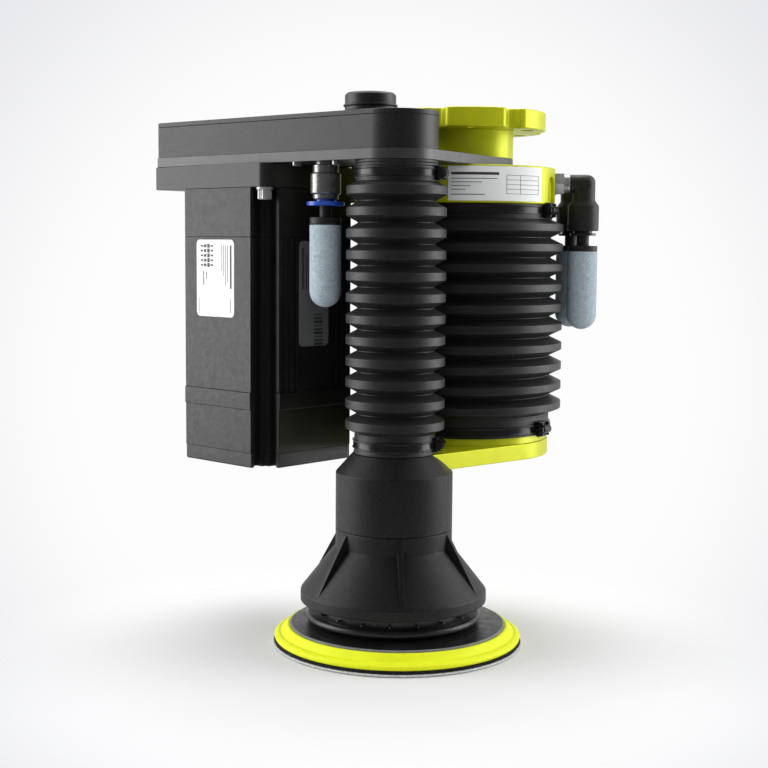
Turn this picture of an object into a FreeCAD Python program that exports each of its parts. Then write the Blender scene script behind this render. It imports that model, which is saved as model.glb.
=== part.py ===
# Compliant orbital sanding head for a robot arm.
#
# Millimetres. The origin is the centre of the robot flange's top face and +Z points up, out of the
# head towards the robot. The flange axis carries the pneumatic actuator. The spindle axis stands
# beside it, and the motor stands at the far end of the belt line, which runs along -X.
import FreeCAD, Part
import math
import os

Vec = FreeCAD.Vector

# Motion and fits
STROKE = 35.5
RUN_CLEAR = 0.05
SEAT_CLEAR = 0.05
PART_GAP = 0.3
CUT_OVER = 1.0

# Robot flange
FLANGE_R = 49.0
FLANGE_T = 12.0
LOBE_COUNT = 6
LOBE_ANGLE = -45.0
LOBE_HALF_WIDTH = 18.8
LOBE_CORNER_R = 4.0
LOBE_ROOT_FILLET = 5.0
FLANGE_HOLE_INSET = 9.0
FLANGE_HOLE_R = 4.5
BOSS_R = 7.5
BOSS_H = 4.0
BOSS_CHAMFER = 0.6
NECK_R = 28.6
NECK_H = 17.0
EDGE_CHAMFER = 0.6

# Motor
MOTOR_SIDE = 87.5
MOTOR_NOTCH = 12.3
MOTOR_GROOVE_AT = 3.0
MOTOR_GROOVE_W = 6.3
MOTOR_GROOVE_DEPTH = 5.0
MOTOR_FRONT_L = 30.2
MOTOR_STATOR_L = 95.8
MOTOR_BAND_L = 10.6
MOTOR_REAR_L = 27.1
MOTOR_CAP_L = 9.2
MOTOR_BAND_PROUD = 0.6
MOTOR_CAP_INSET = 0.4
FIN_SLOT_W = 1.8
FIN_SLOT_DEPTH = 1.6
FIN_PITCH = 5.0
FIN_FIRST = 4.0
FIN_COUNT = 3
MOTOR_SHAFT_R = 7.0
MOTOR_SHAFT_DEPTH = 12.0
MOTOR_SCREW_INSET = 5.6
MOTOR_SCREW_HEAD_R = 4.25
MOTOR_SCREW_HEAD_H = 6.0
MOTOR_SCREW_SOCKET_R = 2.3
WASHER_R = 5.2
WASHER_T = 1.5

# Belt plate, cover, lid and motor adapter
MOTOR_ALONG = 117.55
MOTOR_ACROSS = 6.25
PLATE_T = 6.0
PLATE_MARGIN = 0.6
COVER_END = 60.45
COVER_CORNER_R = 4.0
COVER_WALL = 3.0
COVER_WALL_H = 19.3
LID_T = 3.0
NOSE_MARGIN = 2.2
ADAPTER_T = 14.6
ADAPTER_NEAR_R = 5.0
ADAPTER_FAR_R = 1.0
CAP_AT = 21.6
CAP_R = 15.4
CAP_LIP = 0.8
CAP_H = 12.0
CAP_LIP_AT = 3.8
CAP_LIP_T = 1.3
CAP_ROUND = 2.0
PLATE_SCREW_HEAD_R = 2.7
PLATE_SCREW_HEAD_H = 2.4
PLATE_SCREW_SOCKET_R = 1.3
NEAR_SCREW_AT = 29.5
NEAR_SCREW_SIDE = 20.5
FAR_SCREW_AT = 58.0
FAR_SCREW_SIDE = 25.5
SOCKET_DEPTH_SHARE = 0.5
HEAD_CHAMFER_SHARE = 0.1

# Belt drive
BELT_WIDTH = 9.0
BELT_T = 2.0
TOOTH_PITCH = 3.0
DRIVEN_TEETH = 30
DRIVE_TEETH = 44
TOOTH_DEPTH = 1.3
TOOTH_TOP_SHARE = 0.42
TOOTH_SIDE_SHARE = 0.14
PITCH_LINE = 0.3
PULLEY_SIDE = 1.0
PULLEY_FLANGE_T = 1.0
PULLEY_FLANGE_RISE = 2.3
PULLEY_FLOOR = 3.0

# Spline shaft, its sleeve and the sleeve bearings
SPLINE_R = 6.0
SPLINE_DEPTH = 1.0
SPLINE_WIDTH = 2.0
SPLINE_COUNT = 6
SPLINE_CLEAR = 0.15
SPLINE_RUNOUT = 8.0
JOURNAL_RISE = 1.0
SLEEVE_WALL = 4.0
SLEEVE_LENGTH = 61.0
SLEEVE_TOP_GAP = 1.0
SLEEVE_BEARING_H = 6.0
SLEEVE_BEARING_W = 7.0
BEARING_SPACER = 0.5
BEARING_GROOVE = 0.6
BEARING_WALL = 6.0
LIP_OVER = 3.0
LIP_T = 1.0
SHAFT_HOLE_ROOM = 2.0

# Actuator body
BODY_R = 55.7
BODY_H = 23.0
BODY_CHAMFER = 0.5
PORT_DROP = 9.0
FRONT_PORT_ANGLE = 41.0
REAR_PORT_ANGLE = 62.0
PORT_HOLE_R = 4.85
PORT_FLAT_R = 9.5
PORT_FLAT_DEPTH = 1.3
PORT_HOLE_DEPTH = 6.0
POCKET_ANGLE = 20.0
POCKET_DEPTH = 2.1
POCKET_HALF_WIDTH = 7.0
POCKET_TOP_DROP = 5.5
NAME_PLATE_FROM = -63.0
NAME_PLATE_TO = 3.5
NAME_PLATE_T = 0.5
NAME_PLATE_MARGIN = 1.1

# Bellows and clamps
BELLOWS_SPACE = 172.0
BELLOWS_AIR = 1.64
SPINDLE_ANGLE = -77.12
CUFF_T = 2.0
SMALL_RINGS = 12
SMALL_RIM_H = 4.8
SMALL_RING_RISE = 7.5
SMALL_VALLEY_RISE = 0.7
SMALL_BORE_INSET = 1.4
SMALL_CUFF_L = 11.0
SMALL_LEAD = 6.3
LARGE_SEAT_STEP = 3.5
LARGE_RINGS = 10
LARGE_RIM_H = 4.4
LARGE_RING_RISE = 9.5
LARGE_VALLEY_RISE = 1.4
LARGE_BORE_INSET = 1.7
LARGE_TOP_CUFF_L = 8.2
LARGE_BOTTOM_CUFF_L = 11.5
LARGE_LEAD = 6.2
BAND_T = 0.6
BAND_BEAD = 0.5
BAND_BEAD_W = 0.9
BAND_W = 5.2
UPPER_BAND_INSET = 1.2
SMALL_LOWER_BAND_INSET = 3.2
LARGE_LOWER_BAND_INSET = 1.6
BUCKLE_W = 7.0
BUCKLE_L = 9.0
BUCKLE_RISE = 4.6
BUCKLE_CHAMFER = 1.2
BUCKLE_SCREW_R = 1.9
BUCKLE_SCREW_L = 11.5
BUCKLE_SCREW_PROUD = 1.5
SMALL_UPPER_BUCKLE = 30.0
SMALL_LOWER_BUCKLE = 33.0
LARGE_UPPER_BUCKLE = 14.0
LARGE_LOWER_BUCKLE = 9.0

# Arm and the seat of the large bellows
ARM_T = 10.0
ARM_NOSE_MARGIN = 0.8
ARM_HEEL_MARGIN = 1.6
BASE_RING_MARGIN = 0.4
BASE_RING_T = 4.3
BASE_RING_W = 8.6
ARM_SCREW_COUNT = 6
ARM_SCREW_TURN = 15.0
ARM_SCREW_INSET = 4.0
ARM_SCREW_HEAD_R = 3.5
ARM_SCREW_SOCKET_R = 1.7
ARM_SCREW_HEAD_H = 4.0
ARM_SCREW_SHANK_R = 2.0
ARM_SCREW_REACH = 3.5
SCREW_CLEAR = 0.4

# Guide inside the actuator
COLUMN_R = 16.0
COLUMN_BASE_T = 6.0
COLUMN_ROOM = 2.5
COLUMN_BORE_CLEAR = 0.6
COLUMN_HEADROOM = 1.0
COLUMN_CHAMFER = 1.0
COLUMN_SCREW_INSET = 7.0
BUSH_WALL = 6.0
BUSH_L = 50.0
GUIDE_WALL = 5.0
GUIDE_FLANGE_W = 9.0
GUIDE_FLANGE_T = 4.0
GUIDE_LIP_T = 3.0
GUIDE_LIP_CLEAR = 1.0
ROD_R = 5.0
ROD_ANGLE = 225.0
ROD_ROOM = 3.5
ROD_FOOT_ROOM = 3.0
ROD_EAR_R = 9.0
ROD_EAR_T = 10.0
ROD_EAR_SUNK = 1.0
ROD_ENGAGED = 6.0

# Spindle housing
SPINDLE_R = 7.5
SPINDLE_BEARING_H = 6.5
SPINDLE_BEARING_W = 7.0
HOUSING_WALL = 3.4
HOUSING_LENGTH = 66.0
HOUSING_FLANGE_T = 4.0
HOUSING_FLANGE_ROOM = 1.5
HOUSING_SHOULDER = 2.0
BEARING_INSET = 1.0

# Shroud
SHROUD_R = 34.9
SHROUD_TOP_MARGIN = 2.0
SHROUD_CONE_H = 11.4
SHROUD_WALL = 3.4
SHROUD_SEAM_DROP = 44.9
SHROUD_SEAM_CHAMFER = 0.4
POCKET_CLEAR = 0.2
SKIRT_STRAIGHT = 11.0
SKIRT_R = 55.7
SKIRT_RIM_H = 6.4
SKIRT_RIM_STEP = 2.0
SKIRT_RIM_ROUND = 0.8
SKIRT_H = 43.8
SKIRT_SHELF_T = 3.0
SKIRT_SHELF_AT = 8.0
RIB_COUNT = 6
RIB_ANGLE = -42.0
RIB_T = 3.0
RIB_TOP_DROP = 1.4
RIB_FOOT_INSET = 1.4
RIB_ROOT = 1.0

# Brake ring under the skirt
BRAKE_RING_INSET = 3.3
BRAKE_DROP = 10.9
BRAKE_RIM_R = 2.1
BRAKE_WEB_T = 2.2
BRAKE_WEB_RAISE = 0.4
BRAKE_COLLAR_INSET = 10.7
BRAKE_COLLAR_T = 2.6
BRAKE_SHELF_LAP = 2.4
BRAKE_PEGS = 18
BRAKE_PEG_R = 1.0
BRAKE_PEG_REACH = 3.2
BRAKE_PEG_RAISE = 5.8

# Eccentric, counterweight and pad bearings
ECCENTRICITY = 2.5
ECCENTRIC_ANGLE = 45.0
PAD_STUB_R = 6.0
PAD_STUB_SHOULDER = 2.0
PAD_STUB_FLANGE_W = 11.0
PAD_STUB_FLANGE_T = 5.0
PAD_BEARING_H = 8.0
PAD_BEARING_W = 8.0
PAD_GAP = 1.5
HUB_SHARE = 0.735
HUB_GAP = 1.2
HUB_RAISE = 9.6
WEIGHT_ROOM = 1.5
WEIGHT_T = 12.0
WEIGHT_HALF_ANGLE = 70.0

# Pad
PAD_R = 73.8
PAD_AIR = 2.0
BACKING_INSET = 9.4
BACKING_SLOPE_W = 10.4
BACKING_SLOPE_H = 0.8
BACKING_DISH_W = 8.0
BACKING_RIM_T = 1.4
BACKING_EDGE = 0.5
FOAM_STEP_MARGIN = 0.6
FOAM_SHELF_INSET = 4.2
FOAM_SHELF_DROP = 3.4
FOAM_GROOVE_W = 0.9
FOAM_GROOVE_DEPTH = 0.1
FOAM_LIP_DROP = 0.8
FOAM_LIP_ROUND = 1.6
FOAM_LIP_SHARE = 0.3
FOAM_TAPER = 0.4
FOAM_H = 7.4
HOOK_INSET = 0.6
HOOK_T = 1.4
DISC_MARGIN = 1.0
DISC_T = 1.8

# Push-in fittings and silencers
SILENCER_R = 9.7
SILENCER_L = 50.0
SILENCER_CAP_INSET = 0.2
SILENCER_CAP_H = 3.6
STEM_R = 4.0
STEM_INSERT = 9.0
RELEASE_TRAVEL = 1.2
RELEASE_GAP = 0.2
RELEASE_SLEEVE_W = 2.0
RELEASE_SLEEVE_L = 4.6
STRAIGHT_ROOM = 13.9
STRAIGHT_SIDE = 15.5
STRAIGHT_COLLAR_R = 4.6
STRAIGHT_COLLAR_H = 1.8
STRAIGHT_BODY_R = 6.6
STRAIGHT_BODY_H = 4.6
STRAIGHT_HEX = 15.6
STRAIGHT_HEX_H = 13.0
STRAIGHT_HEX_CHAMFER = 1.1
STRAIGHT_NECK_R = 7.0
STRAIGHT_NECK_H = 2.8
STRAIGHT_RELEASE_R = 11.3
STRAIGHT_RELEASE_T = 2.4
STRAIGHT_STEM_SHOWN = 7.0
PORT_HEX = 13.6
PORT_HEX_L = 9.0
ELBOW_REACH = 10.9
ELBOW_COLLAR_R = 6.4
ELBOW_COLLAR_L = 3.8
ELBOW_R = 7.3
ELBOW_ARM_R = 6.6
ELBOW_RISE = 5.6
ELBOW_DROP = 14.0
BARREL_R = 10.2
BARREL_H = 16.0
ELBOW_DIMPLE_R = 3.7
ELBOW_DIMPLE_T = 0.5
ELBOW_RELEASE_R = 8.2
ELBOW_RELEASE_T = 1.6
ELBOW_STEM_SHOWN = 6.5
ELBOW_PIN_R = 3.0

# Radii that follow from the sizes above
SLEEVE_R = SPLINE_R + SLEEVE_WALL
SLEEVE_BEARING_R = SLEEVE_R + SLEEVE_BEARING_H
SHAFT_HOLE_R = SLEEVE_R + SHAFT_HOLE_ROOM
LIP_R = SLEEVE_R + LIP_OVER
SEAT_RING_R = SLEEVE_BEARING_R + BEARING_WALL
SMALL_TIP_R = SEAT_RING_R + SMALL_RING_RISE
SMALL_VALLEY_R = SEAT_RING_R + SMALL_VALLEY_RISE
SMALL_BORE_R = SEAT_RING_R - SMALL_BORE_INSET
NOSE_R = SEAT_RING_R + NOSE_MARGIN
LARGE_SEAT_R = BODY_R - LARGE_SEAT_STEP
LARGE_TIP_R = LARGE_SEAT_R + LARGE_RING_RISE
LARGE_VALLEY_R = LARGE_SEAT_R + LARGE_VALLEY_RISE
LARGE_BORE_R = LARGE_SEAT_R - LARGE_BORE_INSET
ARM_NOSE_R = SEAT_RING_R + ARM_NOSE_MARGIN
ARM_HEEL_R = LARGE_SEAT_R + ARM_HEEL_MARGIN
BASE_RING_R = LARGE_SEAT_R + BASE_RING_MARGIN
BASE_RING_BORE_R = BASE_RING_R - BASE_RING_W
BUSH_R = COLUMN_R + BUSH_WALL
GUIDE_TUBE_R = BUSH_R + GUIDE_WALL
GUIDE_FLANGE_R = GUIDE_TUBE_R + GUIDE_FLANGE_W
ROD_AT = LARGE_BORE_R - ROD_EAR_R - ROD_ROOM
COLUMN_BASE_R = ROD_AT - ROD_R - ROD_FOOT_ROOM
COLUMN_SCREWS_AT = COLUMN_BASE_R - COLUMN_SCREW_INSET
RING_SCREWS_AT = BASE_RING_BORE_R + ARM_SCREW_INSET
SPINDLE_BEARING_R = SPINDLE_R + SPINDLE_BEARING_H
HOUSING_R = SPINDLE_BEARING_R + HOUSING_WALL
HOUSING_SHOULDER_R = SPINDLE_BEARING_R - HOUSING_SHOULDER
SHROUD_TOP_R = ARM_NOSE_R + SHROUD_TOP_MARGIN
SHROUD_INNER_R = SHROUD_R - SHROUD_WALL
HOUSING_FLANGE_R = SHROUD_INNER_R - HOUSING_FLANGE_ROOM
BRAKE_RING_R = SKIRT_R - BRAKE_RING_INSET
BRAKE_COLLAR_R = SKIRT_R - BRAKE_COLLAR_INSET
BRAKE_COLLAR_INNER_R = BRAKE_COLLAR_R - BRAKE_COLLAR_T
SKIRT_SHELF_R = BRAKE_COLLAR_INNER_R - BRAKE_SHELF_LAP
PAD_BEARING_R = PAD_STUB_R + PAD_BEARING_H
PAD_STUB_FLANGE_R = PAD_STUB_R + PAD_STUB_FLANGE_W
WEIGHT_R = SHROUD_INNER_R - WEIGHT_ROOM
HUB_R = WEIGHT_R * HUB_SHARE
BACKING_R = PAD_R - BACKING_INSET
BACKING_FLAT_R = BACKING_R - BACKING_SLOPE_W
FOAM_INNER_R = BACKING_R + FOAM_STEP_MARGIN
FOAM_SHELF_R = PAD_R - FOAM_SHELF_INSET
DISC_R = PAD_R + DISC_MARGIN
SILENCER_CAP_R = SILENCER_R - SILENCER_CAP_INSET
RELEASE_SLEEVE_R = STEM_R + RELEASE_SLEEVE_W

# Places that follow from the sizes above
HALF_WIDTH = MOTOR_SIDE / 2
COVER_LENGTH = MOTOR_ALONG + COVER_END
LOBE_ROOT_R = LOBE_HALF_WIDTH / math.sin(math.pi / LOBE_COUNT)
FLANGE_HOLES_AT = FLANGE_R - FLANGE_HOLE_INSET
SPINDLE_REACH = LARGE_TIP_R + SMALL_TIP_R + BELLOWS_AIR
SPINDLE_X = SPINDLE_REACH * math.cos(math.radians(SPINDLE_ANGLE))
SPINDLE_Y = SPINDLE_REACH * math.sin(math.radians(SPINDLE_ANGLE))
PORT_FLAT_AT = BODY_R - PORT_FLAT_DEPTH
PORT_HEX_TO = PORT_FLAT_AT + PORT_HEX_L
ELBOW_AT = PORT_HEX_TO + ELBOW_REACH
POCKET_FLOOR_AT = BODY_R - POCKET_DEPTH
STRAIGHT_AT = SMALL_TIP_R + STRAIGHT_ROOM
FLANGE_AXIS = (0.0, 0.0)
SPINDLE_AXIS = (SPINDLE_X, SPINDLE_Y)
MOTOR_AXIS = (SPINDLE_X - MOTOR_ALONG, SPINDLE_Y + MOTOR_ACROSS)

# Levels that follow from the sizes above
NECK_TOP = -FLANGE_T
PLATE_TOP = NECK_TOP - NECK_H
PLATE_BOTTOM = PLATE_TOP - PLATE_T
COVER_TOP = PLATE_TOP + COVER_WALL_H
LID_TOP = COVER_TOP + LID_T
PORT_Z = PLATE_BOTTOM - PORT_DROP
BODY_BOTTOM = PLATE_BOTTOM - BODY_H
ADAPTER_BOTTOM = PLATE_BOTTOM - ADAPTER_T
MOTOR_REAR_TOP = ADAPTER_BOTTOM - MOTOR_FRONT_L - MOTOR_STATOR_L
ARM_TOP = PLATE_BOTTOM - BELLOWS_SPACE
ARM_BOTTOM = ARM_TOP - ARM_T
BASE_RING_TOP = ARM_TOP + BASE_RING_T
SHROUD_SEAM = ARM_TOP - SHROUD_SEAM_DROP
SKIRT_BOTTOM = SHROUD_SEAM - SKIRT_H
SHELF_BOTTOM = SKIRT_BOTTOM + SKIRT_RIM_H + SKIRT_SHELF_AT
BRAKE_RING_BOTTOM = SKIRT_BOTTOM - BRAKE_DROP
HOUSING_TOP = ARM_TOP + SMALL_CUFF_L
HOUSING_BOTTOM = HOUSING_TOP - HOUSING_LENGTH
HUB_TOP = HOUSING_BOTTOM - HUB_GAP
HUB_BOTTOM = BRAKE_RING_BOTTOM + HUB_RAISE
STUB_FLANGE_TOP = HUB_BOTTOM - PAD_GAP
STUB_BOTTOM = STUB_FLANGE_TOP - PAD_STUB_FLANGE_T
BACKING_TOP = BRAKE_RING_BOTTOM - PAD_AIR
BACKING_RIM_TOP = BACKING_TOP - BACKING_SLOPE_H
FOAM_TOP = BACKING_RIM_TOP - BACKING_RIM_T
FOAM_BOTTOM = FOAM_TOP - FOAM_H
HOOK_BOTTOM = FOAM_BOTTOM - HOOK_T
SLEEVE_TOP = COVER_TOP - SLEEVE_TOP_GAP
PULLEY_LOW = PLATE_TOP + PULLEY_FLOOR
PULLEY_HIGH = PULLEY_LOW + BELT_WIDTH + 2 * PULLEY_SIDE + 2 * PULLEY_FLANGE_T
SHAFT_TOP = PULLEY_HIGH - 2 * PULLEY_FLANGE_T - STROKE
COLUMN_BORE_TOP = PLATE_BOTTOM - COLUMN_ROOM
COLUMN_TOP = COLUMN_BORE_TOP - COLUMN_HEADROOM - STROKE
GUIDE_LOW = BODY_BOTTOM - GUIDE_FLANGE_T - BUSH_L - GUIDE_LIP_T
SPLINE_TURN = 360.0 / SPLINE_COUNT


def belt_point(along, across):
    """Place of a point given along the belt line from the spindle, and across it to the back."""
    return (SPINDLE_X - along, SPINDLE_Y + across)


def polar(radius, degrees, centre=FLANGE_AXIS):
    """Place of a point given by its radius and angle about a vertical axis."""
    angle = math.radians(degrees)
    return (centre[0] + radius * math.cos(angle), centre[1] + radius * math.sin(angle))


def cylinder(radius, low, high, centre):
    """Upright cylinder between two levels."""
    return Part.makeCylinder(radius, high - low, Vec(centre[0], centre[1], low))


def ring(outer_r, inner_r, low, high, centre):
    """Upright tube between two levels."""
    return cylinder(outer_r, low, high, centre).cut(cylinder(inner_r, low, high, centre))


def turned(profile, centre):
    """Solid of revolution from a closed outline of radius and level pairs."""
    points = [Vec(centre[0] + radius, centre[1], level) for radius, level in profile]
    face = Part.Face(Part.makePolygon(points + points[:1]))
    return face.revolve(Vec(centre[0], centre[1], 0), Vec(0, 0, 1), 360)


def turned_about(shape, degrees, centre=FLANGE_AXIS):
    """Copy of a shape turned about a vertical axis."""
    copy = shape.copy()
    copy.rotate(Vec(centre[0], centre[1], 0), Vec(0, 0, 1), degrees)
    return copy


def hexagon(across_flats, low, high, centre):
    """Upright hexagonal prism."""
    corner_r = across_flats / math.sqrt(3)
    points = [Vec(*polar(corner_r, 60 * i, centre), low) for i in range(7)]
    return Part.Face(Part.makePolygon(points)).extrude(Vec(0, 0, high - low))


def tangent_points(first, second):
    """Touching points of the outer tangent from one circle to the next, circles as x, y, radius."""
    dx, dy = second[0] - first[0], second[1] - first[1]
    length = math.hypot(dx, dy)
    ux, uy = dx / length, dy / length
    lean = (first[2] - second[2]) / length
    rise = math.sqrt(1 - lean * lean)
    nx, ny = ux * lean + uy * rise, uy * lean - ux * rise
    start = Vec(first[0] + first[2] * nx, first[1] + first[2] * ny, 0)
    end = Vec(second[0] + second[2] * nx, second[1] + second[2] * ny, 0)
    return start, end


def hull_plate(circles, low, high, grow=0.0):
    """Plate whose outline wraps a counter-clockwise run of circles, as a belt would."""
    grown = [(x, y, radius + grow) for x, y, radius in circles]
    count = len(grown)
    spans = [tangent_points(grown[i], grown[(i + 1) % count]) for i in range(count)]
    edges = []
    for i, (x, y, radius) in enumerate(grown):
        arrive = spans[i - 1][1]
        leave = spans[i][0]
        start = math.atan2(arrive.y - y, arrive.x - x)
        end = math.atan2(leave.y - y, leave.x - x)
        if end <= start:
            end += 2 * math.pi
        middle = (start + end) / 2
        through = Vec(x + radius * math.cos(middle), y + radius * math.sin(middle), 0)
        edges.append(Part.Arc(arrive, through, leave).toShape())
        edges.append(Part.LineSegment(leave, spans[i][1]).toShape())
    plate = Part.Face(Part.Wire(edges)).extrude(Vec(0, 0, high - low))
    plate.translate(Vec(0, 0, low))
    return plate


def level_edges(shape, level):
    """Edges of a shape that lie wholly at one level."""
    found = []
    for edge in shape.Edges:
        box = edge.BoundBox
        if abs(box.ZMin - level) < 1e-6 and abs(box.ZMax - level) < 1e-6:
            found.append(edge)
    return found


def upright_edges(shape, height, near, far):
    """Straight upright edges of a height that stand between two distances from the flange axis."""
    found = []
    for edge in shape.Edges:
        at = edge.CenterOfMass
        upright = abs(edge.Length - height) < 1e-3 and edge.BoundBox.ZLength > height / 2
        if upright and near < math.hypot(at.x, at.y) < far:
            found.append(edge)
    return found


def socket_screw(head_r, head_h, socket_r, level, centre, down=True):
    """Cap screw head with a hexagon socket, standing below or above a level."""
    sign = -1 if down else 1
    low, high = sorted((level, level + sign * head_h))
    head = cylinder(head_r, low, high, centre)
    face_level = low if down else high
    head = head.makeChamfer(head_r * HEAD_CHAMFER_SHARE, level_edges(head, face_level))
    depth = head_h * SOCKET_DEPTH_SHARE
    socket_low = face_level if down else face_level - depth
    return head.cut(hexagon(2 * socket_r, socket_low, socket_low + depth, centre))


def save(name, *solids):
    """Write one sub-part, as one solid or a group of solids."""
    shape = solids[0] if len(solids) == 1 else Part.makeCompound(list(solids))
    shape.exportStep(f"parts/{name}.step")


# Outlines along the belt line

def far_corners(far, corner_r):
    """Circles of the two far corners of a block as wide as the motor, back one first."""
    side = HALF_WIDTH - corner_r
    return [(*belt_point(far - corner_r, MOTOR_ACROSS + side), corner_r),
            (*belt_point(far - corner_r, MOTOR_ACROSS - side), corner_r)]


def cover_circles():
    """Round nose at the spindle and two rounded far corners behind the motor."""
    return [(*SPINDLE_AXIS, NOSE_R)] + far_corners(COVER_LENGTH, COVER_CORNER_R)


# Robot side

def make_robot_flange():
    """Six-lobed flange with its neck, centring boss and bolt holes."""
    disc = cylinder(FLANGE_R, -FLANGE_T, 0, FLANGE_AXIS)
    bars = []
    for i in range(LOBE_COUNT // 2):
        bar = Part.makeBox(4 * FLANGE_R, 2 * LOBE_HALF_WIDTH, FLANGE_T)
        bar.translate(Vec(-2 * FLANGE_R, -LOBE_HALF_WIDTH, -FLANGE_T))
        bars.append(turned_about(bar.common(disc), LOBE_ANGLE + i * 360 / LOBE_COUNT))
    star = bars[0].fuse(bars[1:]).removeSplitter()
    middle = (FLANGE_R + LOBE_ROOT_R) / 2
    star = star.makeFillet(LOBE_CORNER_R, upright_edges(star, FLANGE_T, middle, FLANGE_R + 1))
    star = star.makeFillet(LOBE_ROOT_FILLET, upright_edges(star, FLANGE_T, LOBE_ROOT_R - 1, LOBE_ROOT_R + 1))
    star = star.makeChamfer(EDGE_CHAMFER, level_edges(star, 0) + level_edges(star, -FLANGE_T))
    boss = cylinder(BOSS_R, 0, BOSS_H, FLANGE_AXIS)
    boss = boss.makeChamfer(BOSS_CHAMFER, level_edges(boss, BOSS_H))
    neck = cylinder(NECK_R, PLATE_TOP, NECK_TOP, FLANGE_AXIS)
    flange = star.fuse([boss, neck]).removeSplitter()
    for i in range(LOBE_COUNT):
        at = polar(FLANGE_HOLES_AT, LOBE_ANGLE + i * 360 / LOBE_COUNT)
        flange = flange.cut(cylinder(FLANGE_HOLE_R, -FLANGE_T, 0, at))
    return flange


def make_belt_plate():
    """Plate that joins the neck, the spindle head and the motor adapter."""
    along = hull_plate(cover_circles(), PLATE_BOTTOM, PLATE_TOP, PLATE_MARGIN)
    ends = [(*FLANGE_AXIS, NECK_R), (*SPINDLE_AXIS, NOSE_R + PLATE_MARGIN)]
    across = hull_plate(ends, PLATE_BOTTOM, PLATE_TOP)
    plate = along.fuse(across).removeSplitter()
    plate = plate.cut(cylinder(SHAFT_HOLE_R, PLATE_BOTTOM, PLATE_TOP, SPINDLE_AXIS))
    return plate.cut(cylinder(SHAFT_HOLE_R, PLATE_BOTTOM, PLATE_TOP, MOTOR_AXIS))


def make_belt_cover():
    """Wall of the belt cover, open at the lid and at the plate."""
    outer = hull_plate(cover_circles(), PLATE_TOP, COVER_TOP)
    return outer.cut(hull_plate(cover_circles(), PLATE_TOP, COVER_TOP, -COVER_WALL))


def make_cover_lid():
    """Lid of the belt cover with a broken top edge."""
    lid = hull_plate(cover_circles(), COVER_TOP, LID_TOP)
    return lid.makeChamfer(EDGE_CHAMFER, level_edges(lid, LID_TOP))


def make_port_cap():
    """Round plug with a lip, standing on the lid."""
    lip_low = LID_TOP + CAP_LIP_AT
    lip_high = lip_low + CAP_LIP_T
    top = LID_TOP + CAP_H
    step = CAP_ROUND * (1 - math.sqrt(0.5))
    lip_r = CAP_R + CAP_LIP
    profile = [(0, LID_TOP), (CAP_R, LID_TOP), (CAP_R, lip_low), (lip_r, lip_low),
               (lip_r, lip_high), (CAP_R, lip_high), (CAP_R, top - CAP_ROUND),
               (CAP_R - step, top - step), (CAP_R - CAP_ROUND, top), (0, top)]
    return turned(profile, belt_point(CAP_AT, 0))


def plate_screw_places():
    """Screws that hold the cover wall, on both sides of the belt line."""
    places = []
    for along, across in ((NEAR_SCREW_AT, NEAR_SCREW_SIDE), (FAR_SCREW_AT, FAR_SCREW_SIDE)):
        places += [belt_point(along, across), belt_point(along, -across)]
    return places


def make_plate_screws():
    """Cap screws under the belt plate."""
    return [socket_screw(PLATE_SCREW_HEAD_R, PLATE_SCREW_HEAD_H, PLATE_SCREW_SOCKET_R, PLATE_BOTTOM, at)
            for at in plate_screw_places()]


# Belt drive

def make_pulley(teeth, bore_r):
    """Toothed belt pulley with two side flanges."""
    tip_r = teeth * TOOTH_PITCH / (2 * math.pi)
    root_r = tip_r - TOOTH_DEPTH
    belt_low = PULLEY_LOW + PULLEY_FLANGE_T
    belt_high = PULLEY_HIGH - PULLEY_FLANGE_T
    flank = TOOTH_TOP_SHARE + TOOTH_SIDE_SHARE
    outline = ((0.0, tip_r), (TOOTH_TOP_SHARE, tip_r), (flank, root_r), (1 - TOOTH_SIDE_SHARE, root_r))
    points = []
    for i in range(teeth):
        for share, radius in outline:
            points.append(Vec(*polar(radius, (i + share) * 360 / teeth), belt_low))
    wheel = Part.Face(Part.makePolygon(points + points[:1])).extrude(Vec(0, 0, belt_high - belt_low))
    rim_r = tip_r + PULLEY_FLANGE_RISE
    lower = cylinder(rim_r, PULLEY_LOW, belt_low, FLANGE_AXIS)
    upper = cylinder(rim_r, belt_high, PULLEY_HIGH, FLANGE_AXIS)
    return wheel.fuse([lower, upper]).cut(cylinder(bore_r, PULLEY_LOW, PULLEY_HIGH, FLANGE_AXIS))


def belt_circles(grow):
    """The belt's two wraps, as circles that clear the pulley teeth."""
    driven_r = DRIVEN_TEETH * TOOTH_PITCH / (2 * math.pi) + PITCH_LINE
    drive_r = DRIVE_TEETH * TOOTH_PITCH / (2 * math.pi) + PITCH_LINE
    return [(*SPINDLE_AXIS, driven_r + grow), (*MOTOR_AXIS, drive_r + grow)]


def make_drive_belt():
    """Closed belt round both pulleys."""
    low = PULLEY_LOW + PULLEY_FLANGE_T + PULLEY_SIDE
    high = low + BELT_WIDTH
    return hull_plate(belt_circles(BELT_T), low, high).cut(hull_plate(belt_circles(0), low, high))


def spline_cutters(low, high, clear):
    """Blocks that cut the spline grooves, or with clearance fill the sleeve's keys."""
    cutters = []
    for i in range(SPLINE_COUNT):
        half = SPLINE_WIDTH / 2 - clear
        block = Part.makeBox(2 * SPLINE_R, 2 * half, high - low)
        block.translate(Vec(SPLINE_R - SPLINE_DEPTH + clear, -half, low))
        cutters.append(turned_about(block, i * SPLINE_TURN))
    return cutters


def make_spline_sleeve():
    """Turning sleeve whose keys drive the spline shaft and let it slide."""
    low = SLEEVE_TOP - SLEEVE_LENGTH
    bore = cylinder(SPLINE_R + RUN_CLEAR, low, SLEEVE_TOP, FLANGE_AXIS)
    for block in spline_cutters(low, SLEEVE_TOP, SPLINE_CLEAR):
        bore = bore.cut(block)
    sleeve = cylinder(SLEEVE_R, low, SLEEVE_TOP, FLANGE_AXIS).cut(bore)
    sleeve.translate(Vec(*SPINDLE_AXIS, 0))
    return sleeve


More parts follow.
